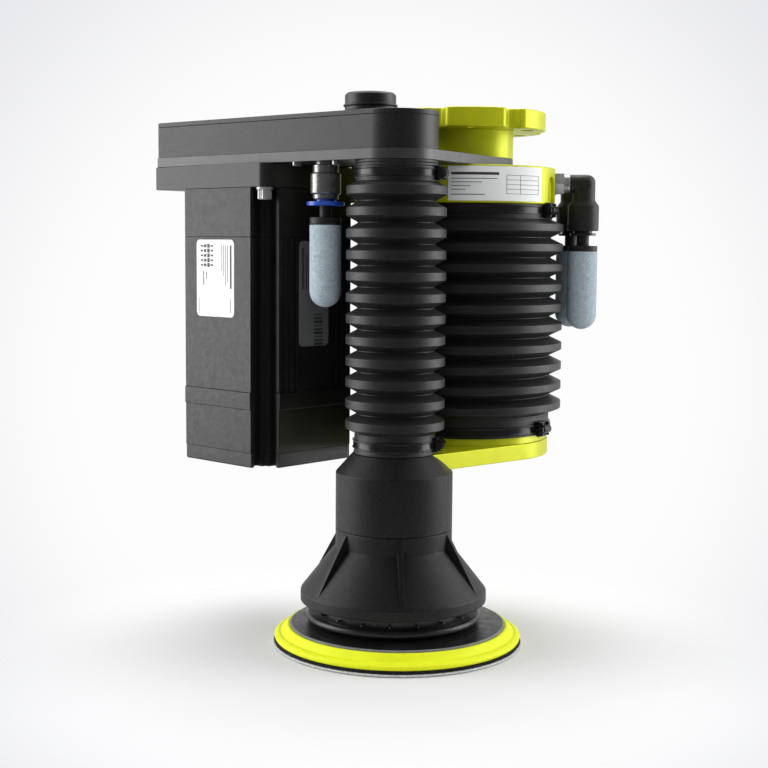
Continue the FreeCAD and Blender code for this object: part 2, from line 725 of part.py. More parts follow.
def make_bearing(outer_r, inner_r, low, width, centre):
    """Ball bearing as one ring with a groove in each face."""
    high = low + width
    middle = (outer_r + inner_r) / 2
    half = (outer_r - inner_r) / 5
    profile = [(inner_r, low), (middle - half, low), (middle - half, low + BEARING_GROOVE),
               (middle + half, low + BEARING_GROOVE), (middle + half, low), (outer_r, low),
               (outer_r, high), (middle + half, high), (middle + half, high - BEARING_GROOVE),
               (middle - half, high - BEARING_GROOVE), (middle - half, high), (inner_r, high)]
    return turned(profile, centre)


def sleeve_bearing_lows():
    """Lower faces of the two sleeve bearings."""
    first = PLATE_BOTTOM - SLEEVE_BEARING_W - LIP_T
    return [first, first - BEARING_SPACER - SLEEVE_BEARING_W]


def make_sleeve_bearings():
    """Bearing pair that carries the spline sleeve."""
    return [make_bearing(SLEEVE_BEARING_R, SLEEVE_R + RUN_CLEAR, low, SLEEVE_BEARING_W, SPINDLE_AXIS)
            for low in sleeve_bearing_lows()]


def make_bearing_housing():
    """Housing under the plate that holds the sleeve bearings and the bellows cuff."""
    seat_low = PLATE_BOTTOM - SMALL_CUFF_L
    pocket_low = sleeve_bearing_lows()[1] - SEAT_CLEAR
    low = pocket_low - LIP_T
    bore = SLEEVE_BEARING_R + SEAT_CLEAR
    shank = SMALL_BORE_R - 2 * PART_GAP
    profile = [(bore, PLATE_BOTTOM), (SEAT_RING_R, PLATE_BOTTOM), (SEAT_RING_R, seat_low), (shank, seat_low),
               (shank, low), (LIP_R, low), (LIP_R, pocket_low), (bore, pocket_low)]
    return turned(profile, SPINDLE_AXIS)


# Motor

def make_motor_adapter():
    """Block between the belt plate and the motor."""
    along = MOTOR_ALONG - HALF_WIDTH + ADAPTER_NEAR_R
    side = HALF_WIDTH - ADAPTER_NEAR_R
    near_back = (*belt_point(along, MOTOR_ACROSS + side), ADAPTER_NEAR_R)
    near_front = (*belt_point(along, MOTOR_ACROSS - side), ADAPTER_NEAR_R)
    far = far_corners(COVER_LENGTH + PLATE_MARGIN, ADAPTER_FAR_R)
    block = hull_plate([near_back] + far + [near_front], ADAPTER_BOTTOM, PLATE_BOTTOM)
    return block.cut(cylinder(SHAFT_HOLE_R, ADAPTER_BOTTOM, PLATE_BOTTOM, MOTOR_AXIS))


def motor_section(low, length, grow=0.0):
    """Square section with notched corners, and a groove in both walls of each notch."""
    half = HALF_WIDTH + grow
    inner = HALF_WIDTH - MOTOR_NOTCH
    groove_from = inner + MOTOR_GROOVE_AT
    floor = inner - MOTOR_GROOVE_DEPTH
    reach = MOTOR_GROOVE_DEPTH + CUT_OVER
    block = Part.makeBox(2 * half, 2 * half, length, Vec(-half, -half, low))
    for quarter in range(4):
        notch = Part.makeBox(half, half, length, Vec(inner, inner, low))
        across = Part.makeBox(MOTOR_GROOVE_W, reach, length, Vec(groove_from, floor, low))
        along = Part.makeBox(reach, MOTOR_GROOVE_W, length, Vec(floor, groove_from, low))
        for cutter in (notch, across, along):
            block = block.cut(turned_about(cutter, quarter * 90))
    block.translate(Vec(*MOTOR_AXIS, 0))
    return block


def motor_screw_places():
    """Places of the two corner screws on the side of the spindle."""
    reach = (HALF_WIDTH - MOTOR_SCREW_INSET) * math.sqrt(2)
    return [polar(reach, angle, MOTOR_AXIS) for angle in (-45, 45)]


def make_motor_front():
    """Front shield with the bore for the shaft."""
    shield = motor_section(ADAPTER_BOTTOM - MOTOR_FRONT_L, MOTOR_FRONT_L)
    bore_low = ADAPTER_BOTTOM - MOTOR_SHAFT_DEPTH
    return shield.cut(cylinder(MOTOR_SHAFT_R + RUN_CLEAR, bore_low, ADAPTER_BOTTOM, MOTOR_AXIS))


def make_motor_stator():
    """Stator housing with upright cooling slots on the two sides across the belt line."""
    block = motor_section(MOTOR_REAR_TOP, MOTOR_STATOR_L)
    flat = HALF_WIDTH - MOTOR_NOTCH
    for sx in (-1, 1):
        slot_x = MOTOR_AXIS[0] + sx * HALF_WIDTH - FIN_SLOT_DEPTH
        for sy in (-1, 1):
            for i in range(FIN_COUNT):
                slot_y = MOTOR_AXIS[1] + sy * (flat - FIN_FIRST - i * FIN_PITCH) - FIN_SLOT_W / 2
                corner = Vec(slot_x, slot_y, MOTOR_REAR_TOP)
                slot = Part.makeBox(2 * FIN_SLOT_DEPTH, FIN_SLOT_W, MOTOR_STATOR_L, corner)
                block = block.cut(slot)
    return block


def make_motor_rear():
    """Rear housing with its slightly proud band."""
    band_low = MOTOR_REAR_TOP - MOTOR_BAND_L
    band = motor_section(band_low, MOTOR_BAND_L, MOTOR_BAND_PROUD)
    rear = motor_section(band_low - MOTOR_REAR_L, MOTOR_REAR_L)
    return band.fuse(rear).removeSplitter()


def make_motor_cap():
    """End cap of the motor."""
    low = MOTOR_REAR_TOP - MOTOR_BAND_L - MOTOR_REAR_L - MOTOR_CAP_L
    cap = motor_section(low, MOTOR_CAP_L, -MOTOR_CAP_INSET)
    return cap.makeChamfer(EDGE_CHAMFER, level_edges(cap, low))


def make_motor_screws():
    """Corner screws with washers that stand in the motor's notches."""
    solids = []
    for at in motor_screw_places():
        solids.append(cylinder(WASHER_R, ADAPTER_BOTTOM - WASHER_T, ADAPTER_BOTTOM, at))
        solids.append(socket_screw(MOTOR_SCREW_HEAD_R, MOTOR_SCREW_HEAD_H, MOTOR_SCREW_SOCKET_R,
                                   ADAPTER_BOTTOM - WASHER_T, at))
    return solids


def make_motor_shaft():
    """Motor shaft that carries the drive pulley."""
    low = ADAPTER_BOTTOM - MOTOR_SHAFT_DEPTH + PART_GAP
    return cylinder(MOTOR_SHAFT_R, low, PULLEY_HIGH, MOTOR_AXIS)


# Actuator

def radial_cylinder(radius, start, end, level, degrees):
    """Level cylinder on a spoke of the flange axis."""
    shape = Part.makeCylinder(radius, end - start, Vec(start, 0, level), Vec(1, 0, 0))
    return turned_about(shape, degrees)


def make_actuator_body():
    """Round body with the bellows seat, the air ports and the guide bore."""
    seat_low = BODY_BOTTOM - LARGE_TOP_CUFF_L
    profile = [(0, PLATE_BOTTOM), (BODY_R - BODY_CHAMFER, PLATE_BOTTOM),
               (BODY_R, PLATE_BOTTOM - BODY_CHAMFER),
               (BODY_R, BODY_BOTTOM + BODY_CHAMFER), (BODY_R - BODY_CHAMFER, BODY_BOTTOM),
               (LARGE_SEAT_R, BODY_BOTTOM), (LARGE_SEAT_R, seat_low), (LARGE_SEAT_R - CUFF_T, seat_low),
               (LARGE_SEAT_R - CUFF_T, BODY_BOTTOM), (COLUMN_R + COLUMN_BORE_CLEAR, BODY_BOTTOM),
               (COLUMN_R + COLUMN_BORE_CLEAR, COLUMN_BORE_TOP), (0, COLUMN_BORE_TOP)]
    body = turned(profile, FLANGE_AXIS)
    for angle in (FRONT_PORT_ANGLE, REAR_PORT_ANGLE):
        body = body.cut(radial_cylinder(PORT_FLAT_R, PORT_FLAT_AT, BODY_R + CUT_OVER, PORT_Z, angle))
        body = body.cut(radial_cylinder(PORT_HOLE_R, PORT_FLAT_AT - PORT_HOLE_DEPTH, BODY_R, PORT_Z, angle))
    arch_level = PLATE_BOTTOM - POCKET_TOP_DROP - POCKET_HALF_WIDTH
    arch = radial_cylinder(POCKET_HALF_WIDTH, POCKET_FLOOR_AT, BODY_R + CUT_OVER, arch_level, 0)
    tail = Part.makeBox(POCKET_DEPTH + CUT_OVER, 2 * POCKET_HALF_WIDTH, arch_level - BODY_BOTTOM,
                        Vec(POCKET_FLOOR_AT, -POCKET_HALF_WIDTH, BODY_BOTTOM))
    return body.cut(turned_about(arch.fuse(tail), POCKET_ANGLE))


def make_name_plate():
    """Bare curved plate wrapped on the front of the body."""
    inner = BODY_R + SEAT_CLEAR
    low, high = BODY_BOTTOM + NAME_PLATE_MARGIN, PLATE_BOTTOM - NAME_PLATE_MARGIN
    profile = [Vec(inner, 0, low), Vec(inner + NAME_PLATE_T, 0, low), Vec(inner + NAME_PLATE_T, 0, high),
               Vec(inner, 0, high), Vec(inner, 0, low)]
    face = Part.Face(Part.makePolygon(profile))
    plate = face.revolve(Vec(0, 0, 0), Vec(0, 0, 1), NAME_PLATE_TO - NAME_PLATE_FROM)
    return turned_about(plate, NAME_PLATE_FROM)


def make_guide_tube():
    """Tube under the body that holds the bush, with an ear for the anti-turn rod."""
    low = GUIDE_LOW
    flange_low = BODY_BOTTOM - GUIDE_FLANGE_T
    bore = BUSH_R + SEAT_CLEAR
    lip_r = COLUMN_R + GUIDE_LIP_CLEAR
    profile = [(bore, BODY_BOTTOM), (GUIDE_FLANGE_R, BODY_BOTTOM), (GUIDE_FLANGE_R, flange_low),
               (GUIDE_TUBE_R, flange_low), (GUIDE_TUBE_R, low), (lip_r, low), (lip_r, low + GUIDE_LIP_T),
               (bore, low + GUIDE_LIP_T)]
    tube = turned(profile, FLANGE_AXIS)
    rod = polar(ROD_AT, ROD_ANGLE)
    ear = hull_plate([(*FLANGE_AXIS, GUIDE_TUBE_R), (*rod, ROD_EAR_R)], low, low + ROD_EAR_T)
    ear = ear.cut(cylinder(GUIDE_TUBE_R - ROD_EAR_SUNK, low, low + ROD_EAR_T, FLANGE_AXIS))
    return tube.fuse(ear).removeSplitter().cut(cylinder(ROD_R + RUN_CLEAR, low, low + ROD_EAR_T, rod))


def make_guide_bush():
    """Plain bush that the guide column slides in."""
    low = GUIDE_LOW + GUIDE_LIP_T
    return ring(BUSH_R, COLUMN_R + RUN_CLEAR, low, low + BUSH_L, FLANGE_AXIS)


def make_guide_column():
    """Column on the arm that slides up into the body."""
    base_top = ARM_TOP + COLUMN_BASE_T
    chamfer = COLUMN_CHAMFER
    profile = [(0, ARM_TOP), (COLUMN_BASE_R, ARM_TOP), (COLUMN_BASE_R, base_top), (COLUMN_R, base_top),
               (COLUMN_R, COLUMN_TOP - chamfer), (COLUMN_R - chamfer, COLUMN_TOP), (0, COLUMN_TOP)]
    column = turned(profile, FLANGE_AXIS)
    for at in screw_circle(COLUMN_SCREWS_AT):
        column = column.cut(screw_hole(at))
    return column


def make_anti_turn_rod():
    """Second rod that keeps the arm from turning about the column."""
    return cylinder(ROD_R, ARM_TOP, GUIDE_LOW + ROD_EAR_T + ROD_ENGAGED, polar(ROD_AT, ROD_ANGLE))


# Bellows and clamps

def make_bellows(rings, tip_r, valley_r, rim_h, bore_r, seat_r, top, top_cuff, bottom, bottom_cuff,
                 lead, centre):
    """Moulded bellows: a cuff at each end and a run of straight-flanked rings."""
    first = top - top_cuff - lead
    last = bottom + bottom_cuff + lead
    pitch = (first - last) / (rings - 1)
    cuff_r = seat_r + SEAT_CLEAR + CUFF_T
    profile = [(seat_r + SEAT_CLEAR, top), (cuff_r, top), (cuff_r, top - top_cuff)]
    for i in range(rings):
        level = first - i * pitch
        profile += [(tip_r, level + rim_h / 2), (tip_r, level - rim_h / 2)]
        if i < rings - 1:
            profile.append((valley_r, level - pitch / 2))
    profile += [(cuff_r, bottom + bottom_cuff), (cuff_r, bottom), (seat_r + SEAT_CLEAR, bottom),
                (seat_r + SEAT_CLEAR, bottom + bottom_cuff), (bore_r, bottom + bottom_cuff),
                (bore_r, top - top_cuff), (seat_r + SEAT_CLEAR, top - top_cuff)]
    return turned(profile, centre)


def make_small_bellows():
    """Bellows over the spline shaft."""
    return make_bellows(SMALL_RINGS, SMALL_TIP_R, SMALL_VALLEY_R, SMALL_RIM_H, SMALL_BORE_R, SEAT_RING_R,
                        PLATE_BOTTOM, SMALL_CUFF_L, ARM_TOP, SMALL_CUFF_L, SMALL_LEAD, SPINDLE_AXIS)


def make_large_bellows():
    """Bellows over the actuator guide."""
    return make_bellows(LARGE_RINGS, LARGE_TIP_R, LARGE_VALLEY_R, LARGE_RIM_H, LARGE_BORE_R, LARGE_SEAT_R,
                        BODY_BOTTOM, LARGE_TOP_CUFF_L, BASE_RING_TOP, LARGE_BOTTOM_CUFF_L, LARGE_LEAD,
                        FLANGE_AXIS)


def make_clamp(seat_r, middle, degrees, centre):
    """Band clamp: a band with rolled edges, its buckle and the buckle screw."""
    inner = seat_r + SEAT_CLEAR + CUFF_T + SEAT_CLEAR
    low, high = middle - BAND_W / 2, middle + BAND_W / 2
    outer = inner + BAND_T
    bead = outer + BAND_BEAD
    profile = [(inner, low), (bead, low), (bead, low + BAND_BEAD_W), (outer, low + BAND_BEAD_W),
               (outer, high - BAND_BEAD_W), (bead, high - BAND_BEAD_W), (bead, high), (inner, high)]
    band = turned(profile, FLANGE_AXIS)
    corner = Vec(outer, -BUCKLE_L / 2, middle - BUCKLE_W / 2)
    buckle = Part.makeBox(BUCKLE_RISE, BUCKLE_L, BUCKLE_W, corner)
    buckle = buckle.cut(cylinder(bead, middle - BUCKLE_W, middle + BUCKLE_W, FLANGE_AXIS))
    face_at = outer + BUCKLE_RISE
    face_edges = [edge for edge in buckle.Edges if edge.BoundBox.XMin > face_at - 1e-3]
    upright = [edge for edge in face_edges if edge.BoundBox.ZLength > BUCKLE_W / 2]
    buckle = buckle.makeChamfer(BUCKLE_CHAMFER, upright)
    screw_from = Vec(bead + BUCKLE_RISE / 2, -BUCKLE_L / 2 - BUCKLE_SCREW_PROUD, middle)
    screw = Part.makeCylinder(BUCKLE_SCREW_R, BUCKLE_SCREW_L, screw_from, Vec(0, 1, 0))
    buckle = buckle.cut(screw)
    solids = []
    for solid in (band, buckle, screw):
        solid = turned_about(solid, degrees)
        solid.translate(Vec(*centre, 0))
        solids.append(solid)
    return solids


# Arm, seats and spindle housing

def arm_circles(grow=0.0):
    """Outline circles of the arm: the column end and the spindle end."""
    return [(*FLANGE_AXIS, ARM_HEEL_R + grow), (*SPINDLE_AXIS, ARM_NOSE_R + grow)]


def screw_circle(radius):
    """Places of one circle of screws under the arm."""
    return [polar(radius, ARM_SCREW_TURN + i * 360 / ARM_SCREW_COUNT) for i in range(ARM_SCREW_COUNT)]


def screw_hole(at):
    """Hole for the shank of a screw under the arm."""
    return cylinder(ARM_SCREW_SHANK_R + SEAT_CLEAR, ARM_BOTTOM, ARM_TOP + ARM_SCREW_REACH + PART_GAP, at)


def make_arm():
    """Arm that hangs the spindle beside the guide column, with the small bellows seat on top."""
    arm = hull_plate(arm_circles(), ARM_BOTTOM, ARM_TOP)
    arm = arm.makeChamfer(EDGE_CHAMFER, level_edges(arm, ARM_BOTTOM) + level_edges(arm, ARM_TOP))
    arm = arm.fuse(cylinder(SEAT_RING_R, ARM_TOP, HOUSING_TOP, SPINDLE_AXIS))
    arm = arm.cut(cylinder(HOUSING_R + SEAT_CLEAR, ARM_BOTTOM, HOUSING_TOP, SPINDLE_AXIS))
    head_r = ARM_SCREW_HEAD_R + SCREW_CLEAR
    for at in screw_circle(COLUMN_SCREWS_AT) + screw_circle(RING_SCREWS_AT):
        arm = arm.cut(cylinder(head_r, ARM_BOTTOM, ARM_BOTTOM + ARM_SCREW_HEAD_H + SCREW_CLEAR, at))
        arm = arm.cut(screw_hole(at))
    return arm


def make_arm_screws():
    """Cap screws sunk in the arm, which hold the column and the base ring."""
    seat = ARM_BOTTOM + ARM_SCREW_HEAD_H + SCREW_CLEAR
    solids = []
    for at in screw_circle(COLUMN_SCREWS_AT) + screw_circle(RING_SCREWS_AT):
        head = socket_screw(ARM_SCREW_HEAD_R, ARM_SCREW_HEAD_H, ARM_SCREW_SOCKET_R, seat, at)
        solids.append(head.fuse(cylinder(ARM_SCREW_SHANK_R, seat, ARM_TOP + ARM_SCREW_REACH, at)))
    return solids


def make_base_ring():
    """Ring on the arm that seats the large bellows."""
    seat_top = BASE_RING_TOP + LARGE_BOTTOM_CUFF_L
    profile = [(BASE_RING_BORE_R, ARM_TOP), (BASE_RING_R, ARM_TOP), (BASE_RING_R, BASE_RING_TOP),
               (LARGE_SEAT_R, BASE_RING_TOP), (LARGE_SEAT_R, seat_top), (LARGE_SEAT_R - CUFF_T, seat_top),
               (LARGE_SEAT_R - CUFF_T, BASE_RING_TOP), (BASE_RING_BORE_R, BASE_RING_TOP)]
    base = turned(profile, FLANGE_AXIS)
    for at in screw_circle(RING_SCREWS_AT):
        base = base.cut(screw_hole(at))
    return base


def spindle_bearing_lows():
    """Lower faces of the two spindle bearings."""
    return [HOUSING_TOP - BEARING_INSET - SPINDLE_BEARING_W, HOUSING_BOTTOM + BEARING_INSET]


def make_spindle_housing():
    """Housing tube with its flange under the arm and a shoulder between the bearings."""
    upper, lower = spindle_bearing_lows()
    bore = SPINDLE_BEARING_R + SEAT_CLEAR
    shoulder_low = lower + SPINDLE_BEARING_W + SEAT_CLEAR
    profile = [(bore, HOUSING_TOP), (HOUSING_R, HOUSING_TOP), (HOUSING_R, ARM_BOTTOM),
               (HOUSING_FLANGE_R, ARM_BOTTOM), (HOUSING_FLANGE_R, ARM_BOTTOM - HOUSING_FLANGE_T),
               (HOUSING_R, ARM_BOTTOM - HOUSING_FLANGE_T), (HOUSING_R, HOUSING_BOTTOM),
               (bore, HOUSING_BOTTOM),
               (bore, shoulder_low), (HOUSING_SHOULDER_R, shoulder_low),
               (HOUSING_SHOULDER_R, upper - SEAT_CLEAR), (bore, upper - SEAT_CLEAR)]
    return turned(profile, SPINDLE_AXIS)


def make_spindle_bearings():
    """Bearing pair of the spindle."""
    return [make_bearing(SPINDLE_BEARING_R, SPINDLE_R + RUN_CLEAR, low, SPINDLE_BEARING_W, SPINDLE_AXIS)
            for low in spindle_bearing_lows()]


# Shroud

def make_upper_shroud():
    """Coned upper shroud with the slot that takes the end of the arm."""
    cone_bottom = ARM_TOP - SHROUD_CONE_H
    inner = SHROUD_INNER_R
    chamfer = SHROUD_SEAM_CHAMFER
    profile = [(0, ARM_TOP), (SHROUD_TOP_R, ARM_TOP), (SHROUD_R, cone_bottom),
               (SHROUD_R, SHROUD_SEAM + chamfer), (SHROUD_R - chamfer, SHROUD_SEAM), (inner, SHROUD_SEAM),
               (inner, ARM_BOTTOM), (0, ARM_BOTTOM)]
    shroud = turned(profile, SPINDLE_AXIS)
    return shroud.cut(hull_plate(arm_circles(POCKET_CLEAR), ARM_BOTTOM, ARM_TOP))


def make_skirt():
    """Coned skirt with a straight rim, radial ribs and an inner shelf."""
    cone_top = SHROUD_SEAM - SKIRT_STRAIGHT
    rim_top = SKIRT_BOTTOM + SKIRT_RIM_H
    inner = SHROUD_INNER_R
    rim_inner = SKIRT_R - SHROUD_WALL
    chamfer = SHROUD_SEAM_CHAMFER
    edge = SKIRT_RIM_ROUND
    shelf_top = SHELF_BOTTOM + SKIRT_SHELF_T
    slope = (SKIRT_R - SHROUD_R) / (cone_top - rim_top)
    shelf_wall = inner + slope * (cone_top - shelf_top)
    profile = [(inner, SHROUD_SEAM), (SHROUD_R - chamfer, SHROUD_SEAM), (SHROUD_R, SHROUD_SEAM - chamfer),
               (SHROUD_R, cone_top), (SKIRT_R - slope * edge, rim_top + edge),
               (SKIRT_R, rim_top - edge / 2), (SKIRT_R, SKIRT_BOTTOM + edge / 2),
               (SKIRT_R - edge / 2, SKIRT_BOTTOM), (rim_inner, SKIRT_BOTTOM),
               (rim_inner, rim_top - SKIRT_RIM_STEP), (BRAKE_COLLAR_R + PART_GAP, SHELF_BOTTOM),
               (SKIRT_SHELF_R, SHELF_BOTTOM),
               (SKIRT_SHELF_R, shelf_top), (shelf_wall, shelf_top), (inner, cone_top)]
    body = turned(profile, FLANGE_AXIS)
    foot_r = SKIRT_R - RIB_FOOT_INSET
    foot = rim_top + RIB_FOOT_INSET / slope
    rib = [(SHROUD_R, SHROUD_SEAM - RIB_TOP_DROP), (foot_r, foot), (foot_r - RIB_ROOT, foot - RIB_ROOT / 2),
           (SHROUD_R - RIB_ROOT, cone_top - RIB_ROOT), (SHROUD_R - RIB_ROOT, SHROUD_SEAM - RIB_TOP_DROP)]
    points = [Vec(radius, -RIB_T / 2, level) for radius, level in rib]
    fin = Part.Face(Part.makePolygon(points + points[:1])).extrude(Vec(0, RIB_T, 0))
    body = body.fuse([turned_about(fin, RIB_ANGLE + i * 360 / RIB_COUNT) for i in range(RIB_COUNT)])
    body.translate(Vec(*SPINDLE_AXIS, 0))
    return body


def make_brake_ring():
    """Rubber dish hung from the shelf: a collar, a thin web and a rolled rim."""
    rim_level = BRAKE_RING_BOTTOM + BRAKE_RIM_R
    web_low = BRAKE_RING_BOTTOM + BRAKE_WEB_RAISE
    web_high = web_low + BRAKE_WEB_T
    inner = BRAKE_COLLAR_INNER_R
    roll_at = BRAKE_RING_R - BRAKE_RIM_R
    profile = [(inner, SHELF_BOTTOM), (BRAKE_COLLAR_R, SHELF_BOTTOM), (BRAKE_COLLAR_R, web_high),
               (roll_at, web_high), (roll_at, web_low), (inner, web_low)]
    roll = Part.makeTorus(roll_at, BRAKE_RIM_R, Vec(0, 0, rim_level))
    dish = turned(profile, FLANGE_AXIS).fuse(roll)
    dish.translate(Vec(*SPINDLE_AXIS, 0))
    return dish


def make_brake_pegs():
    """Studs round the brake ring's collar."""
    solids = []
    foot = Vec(BRAKE_COLLAR_R, 0, BRAKE_RING_BOTTOM + BRAKE_PEG_RAISE)
    for i in range(BRAKE_PEGS):
        peg = Part.makeCylinder(BRAKE_PEG_R, BRAKE_PEG_REACH, foot, Vec(1, 0, 0))
        peg = turned_about(peg, (i + 0.5) * 360 / BRAKE_PEGS)
        peg.translate(Vec(*SPINDLE_AXIS, 0))
        solids.append(peg)
    return solids


# Spindle, eccentric and pad

def eccentric_axis():
    """Axis of the pad, beside the spindle axis."""
    return polar(ECCENTRICITY, ECCENTRIC_ANGLE, SPINDLE_AXIS)


def make_spindle_shaft():
    """Spline shaft above and spindle journal below, in one piece."""
    journal_top = HOUSING_TOP + JOURNAL_RISE
    spline = cylinder(SPLINE_R, journal_top, SHAFT_TOP, FLANGE_AXIS)
    for block in spline_cutters(journal_top + SPLINE_RUNOUT, SHAFT_TOP, 0):
        spline = spline.cut(block)
    shaft = spline.fuse(cylinder(SPINDLE_R, HUB_TOP, journal_top, FLANGE_AXIS))
    shaft.translate(Vec(*SPINDLE_AXIS, 0))
    return shaft


def make_eccentric_hub():
    """Hub on the spindle's end with the offset bore for the pad bearings."""
    hub = cylinder(HUB_R, HUB_BOTTOM, HUB_TOP, SPINDLE_AXIS)
    bore_top = HUB_BOTTOM + 2 * PAD_BEARING_W + BEARING_SPACER + LIP_T
    bore = cylinder(PAD_BEARING_R + SEAT_CLEAR, HUB_BOTTOM, bore_top, eccentric_axis())
    return hub.cut(bore)


def make_counterweight():
    """Half-round weight on the hub, opposite the pad's offset."""
    high = HUB_TOP - PART_GAP
    weight = ring(WEIGHT_R, HUB_R + SEAT_CLEAR, high - WEIGHT_T, high, FLANGE_AXIS)
    wedge_r = 2 * WEIGHT_R
    start = 180 - WEIGHT_HALF_ANGLE
    points = [Vec(0, 0, high - WEIGHT_T)]
    points += [Vec(*polar(wedge_r, start + i * WEIGHT_HALF_ANGLE / 2), high - WEIGHT_T) for i in range(5)]
    wedge = Part.Face(Part.makePolygon(points + points[:1])).extrude(Vec(0, 0, WEIGHT_T))
    weight = turned_about(weight.common(wedge), ECCENTRIC_ANGLE)
    weight.translate(Vec(*SPINDLE_AXIS, 0))
    return weight


def make_pad_bearings():
    """Bearing pair in the eccentric bore."""
    first = HUB_BOTTOM + SEAT_CLEAR
    return [make_bearing(PAD_BEARING_R, PAD_STUB_R + RUN_CLEAR, first + i * (PAD_BEARING_W + BEARING_SPACER),
                         PAD_BEARING_W, eccentric_axis()) for i in range(2)]


def make_pad_stub():
    """Stub shaft of the pad with its clamping flange."""
    top = HUB_BOTTOM + 2 * PAD_BEARING_W + BEARING_SPACER
    shoulder_r = PAD_STUB_R + PAD_STUB_SHOULDER
    shoulder_top = HUB_BOTTOM - PART_GAP
    profile = [(0, STUB_BOTTOM), (PAD_STUB_FLANGE_R, STUB_BOTTOM), (PAD_STUB_FLANGE_R, STUB_FLANGE_TOP),
               (shoulder_r, STUB_FLANGE_TOP), (shoulder_r, shoulder_top), (PAD_STUB_R, shoulder_top),
               (PAD_STUB_R, top), (0, top)]
    return turned(profile, eccentric_axis())


def make_backing_disc():
    """Stiff backing disc of the pad, with a raised middle and a thin rim."""
    edge = BACKING_EDGE
    profile = [(0, FOAM_TOP), (BACKING_R - edge, FOAM_TOP), (BACKING_R, FOAM_TOP + edge),
               (BACKING_R, BACKING_RIM_TOP - edge), (BACKING_R - edge, BACKING_RIM_TOP),
               (BACKING_FLAT_R, BACKING_TOP), (PAD_STUB_FLANGE_R + BACKING_DISH_W, BACKING_TOP),
               (PAD_STUB_FLANGE_R, STUB_BOTTOM), (0, STUB_BOTTOM)]
    return turned(profile, eccentric_axis())


def make_pad_foam():
    """Soft foam of the pad: an upper step, a groove and a rounded outer lip."""
    shelf = FOAM_TOP - FOAM_SHELF_DROP
    lip = FOAM_LIP_ROUND
    lip_top = shelf - FOAM_LIP_DROP
    profile = [(0, FOAM_TOP), (FOAM_INNER_R, FOAM_TOP), (FOAM_SHELF_R, shelf),
               (FOAM_SHELF_R + FOAM_GROOVE_W, shelf - FOAM_GROOVE_DEPTH), (PAD_R - lip, lip_top),
               (PAD_R - FOAM_LIP_SHARE * lip, lip_top - FOAM_LIP_SHARE * lip), (PAD_R, lip_top - lip),
               (PAD_R - FOAM_TAPER, FOAM_BOTTOM), (0, FOAM_BOTTOM)]
    return turned(profile, eccentric_axis())


def make_hook_layer():
    """Hook-and-loop layer under the foam."""
    return cylinder(PAD_R - HOOK_INSET, HOOK_BOTTOM, FOAM_BOTTOM, eccentric_axis())


def make_sanding_disc():
    """Sanding disc on the hook layer."""
    return cylinder(DISC_R, HOOK_BOTTOM - DISC_T, HOOK_BOTTOM, eccentric_axis())


# Push-in fittings

def release_top(mouth):
    """Upper face of a release ring's flange at rest."""
    return mouth - RELEASE_TRAVEL - RELEASE_GAP


def release_ring(flange_r, flange_t, mouth, centre):
    """Release ring that is pushed up into a fitting's mouth to free the stem."""
    top = release_top(mouth)
    bore = STEM_R + RUN_CLEAR
    sleeve_top = mouth + RELEASE_SLEEVE_L - RELEASE_TRAVEL
    profile = [(bore, top - flange_t), (flange_r, top - flange_t), (flange_r, top), (RELEASE_SLEEVE_R, top),
               (RELEASE_SLEEVE_R, sleeve_top), (bore, sleeve_top)]
    return turned(profile, centre)


def mouth_bore(mouth, centre):
    """Bore of a push-in mouth: a pocket for the release ring and a hole for the stem."""
    pocket = cylinder(RELEASE_SLEEVE_R + RUN_CLEAR, mouth, mouth + RELEASE_SLEEVE_L + PART_GAP, centre)
    return pocket.fuse(cylinder(STEM_R + RUN_CLEAR, mouth, mouth + STEM_INSERT + PART_GAP, centre))


def silencer_cap(mouth, release_bottom, shown, centre):
    """Plug-in stem with the silencer's collar."""
    cap_top = release_bottom - shown
    cap_low = cap_top - SILENCER_CAP_H
    profile = [(0, mouth + STEM_INSERT), (STEM_R, mouth + STEM_INSERT), (STEM_R, cap_top),
               (SILENCER_CAP_R, cap_top), (SILENCER_CAP_R, cap_low), (0, cap_low)]
    return turned(profile, centre)


def silencer(top, centre):
    """Porous silencer with a rounded end."""
    straight_low = top - SILENCER_L + SILENCER_R
    body = cylinder(SILENCER_R, straight_low, top, centre)
    dome = Part.makeSphere(SILENCER_R, Vec(centre[0], centre[1], straight_low))
    return body.fuse(dome).removeSplitter()


def make_straight_fitting():
    """Straight fitting under the belt plate: body, steel hexagon, release ring, cap and silencer."""
    at = belt_point(STRAIGHT_AT, -STRAIGHT_SIDE)
    collar_low = PLATE_BOTTOM - STRAIGHT_COLLAR_H
    body_low = collar_low - STRAIGHT_BODY_H
    hex_low = body_low - STRAIGHT_HEX_H
    mouth = hex_low - STRAIGHT_NECK_H
    body = cylinder(STRAIGHT_COLLAR_R, collar_low, PLATE_BOTTOM, at)
    body = body.fuse(cylinder(STRAIGHT_BODY_R, body_low, collar_low, at))
    flat_r = STRAIGHT_HEX / 2
    corner_r = STRAIGHT_HEX / math.sqrt(3)
    chamfer = STRAIGHT_HEX_CHAMFER
    ends = [(0, hex_low), (flat_r, hex_low), (corner_r, hex_low + chamfer), (corner_r, body_low - chamfer),
            (flat_r, body_low), (0, body_low)]
    nut = hexagon(STRAIGHT_HEX, hex_low, body_low, at).common(turned(ends, at))
    nut = nut.cut(mouth_bore(mouth, at))
    neck = cylinder(STRAIGHT_NECK_R, mouth, hex_low, at).cut(mouth_bore(mouth, at))
    low = release_top(mouth) - STRAIGHT_RELEASE_T
    cap_low = low - STRAIGHT_STEM_SHOWN - SILENCER_CAP_H
    save("straight_fitting_body", body)
    save("straight_fitting_nut", nut, neck)
    save("straight_release_ring", release_ring(STRAIGHT_RELEASE_R, STRAIGHT_RELEASE_T, mouth, at))
    save("straight_silencer", silencer_cap(mouth, low, STRAIGHT_STEM_SHOWN, at), silencer(cap_low, at))


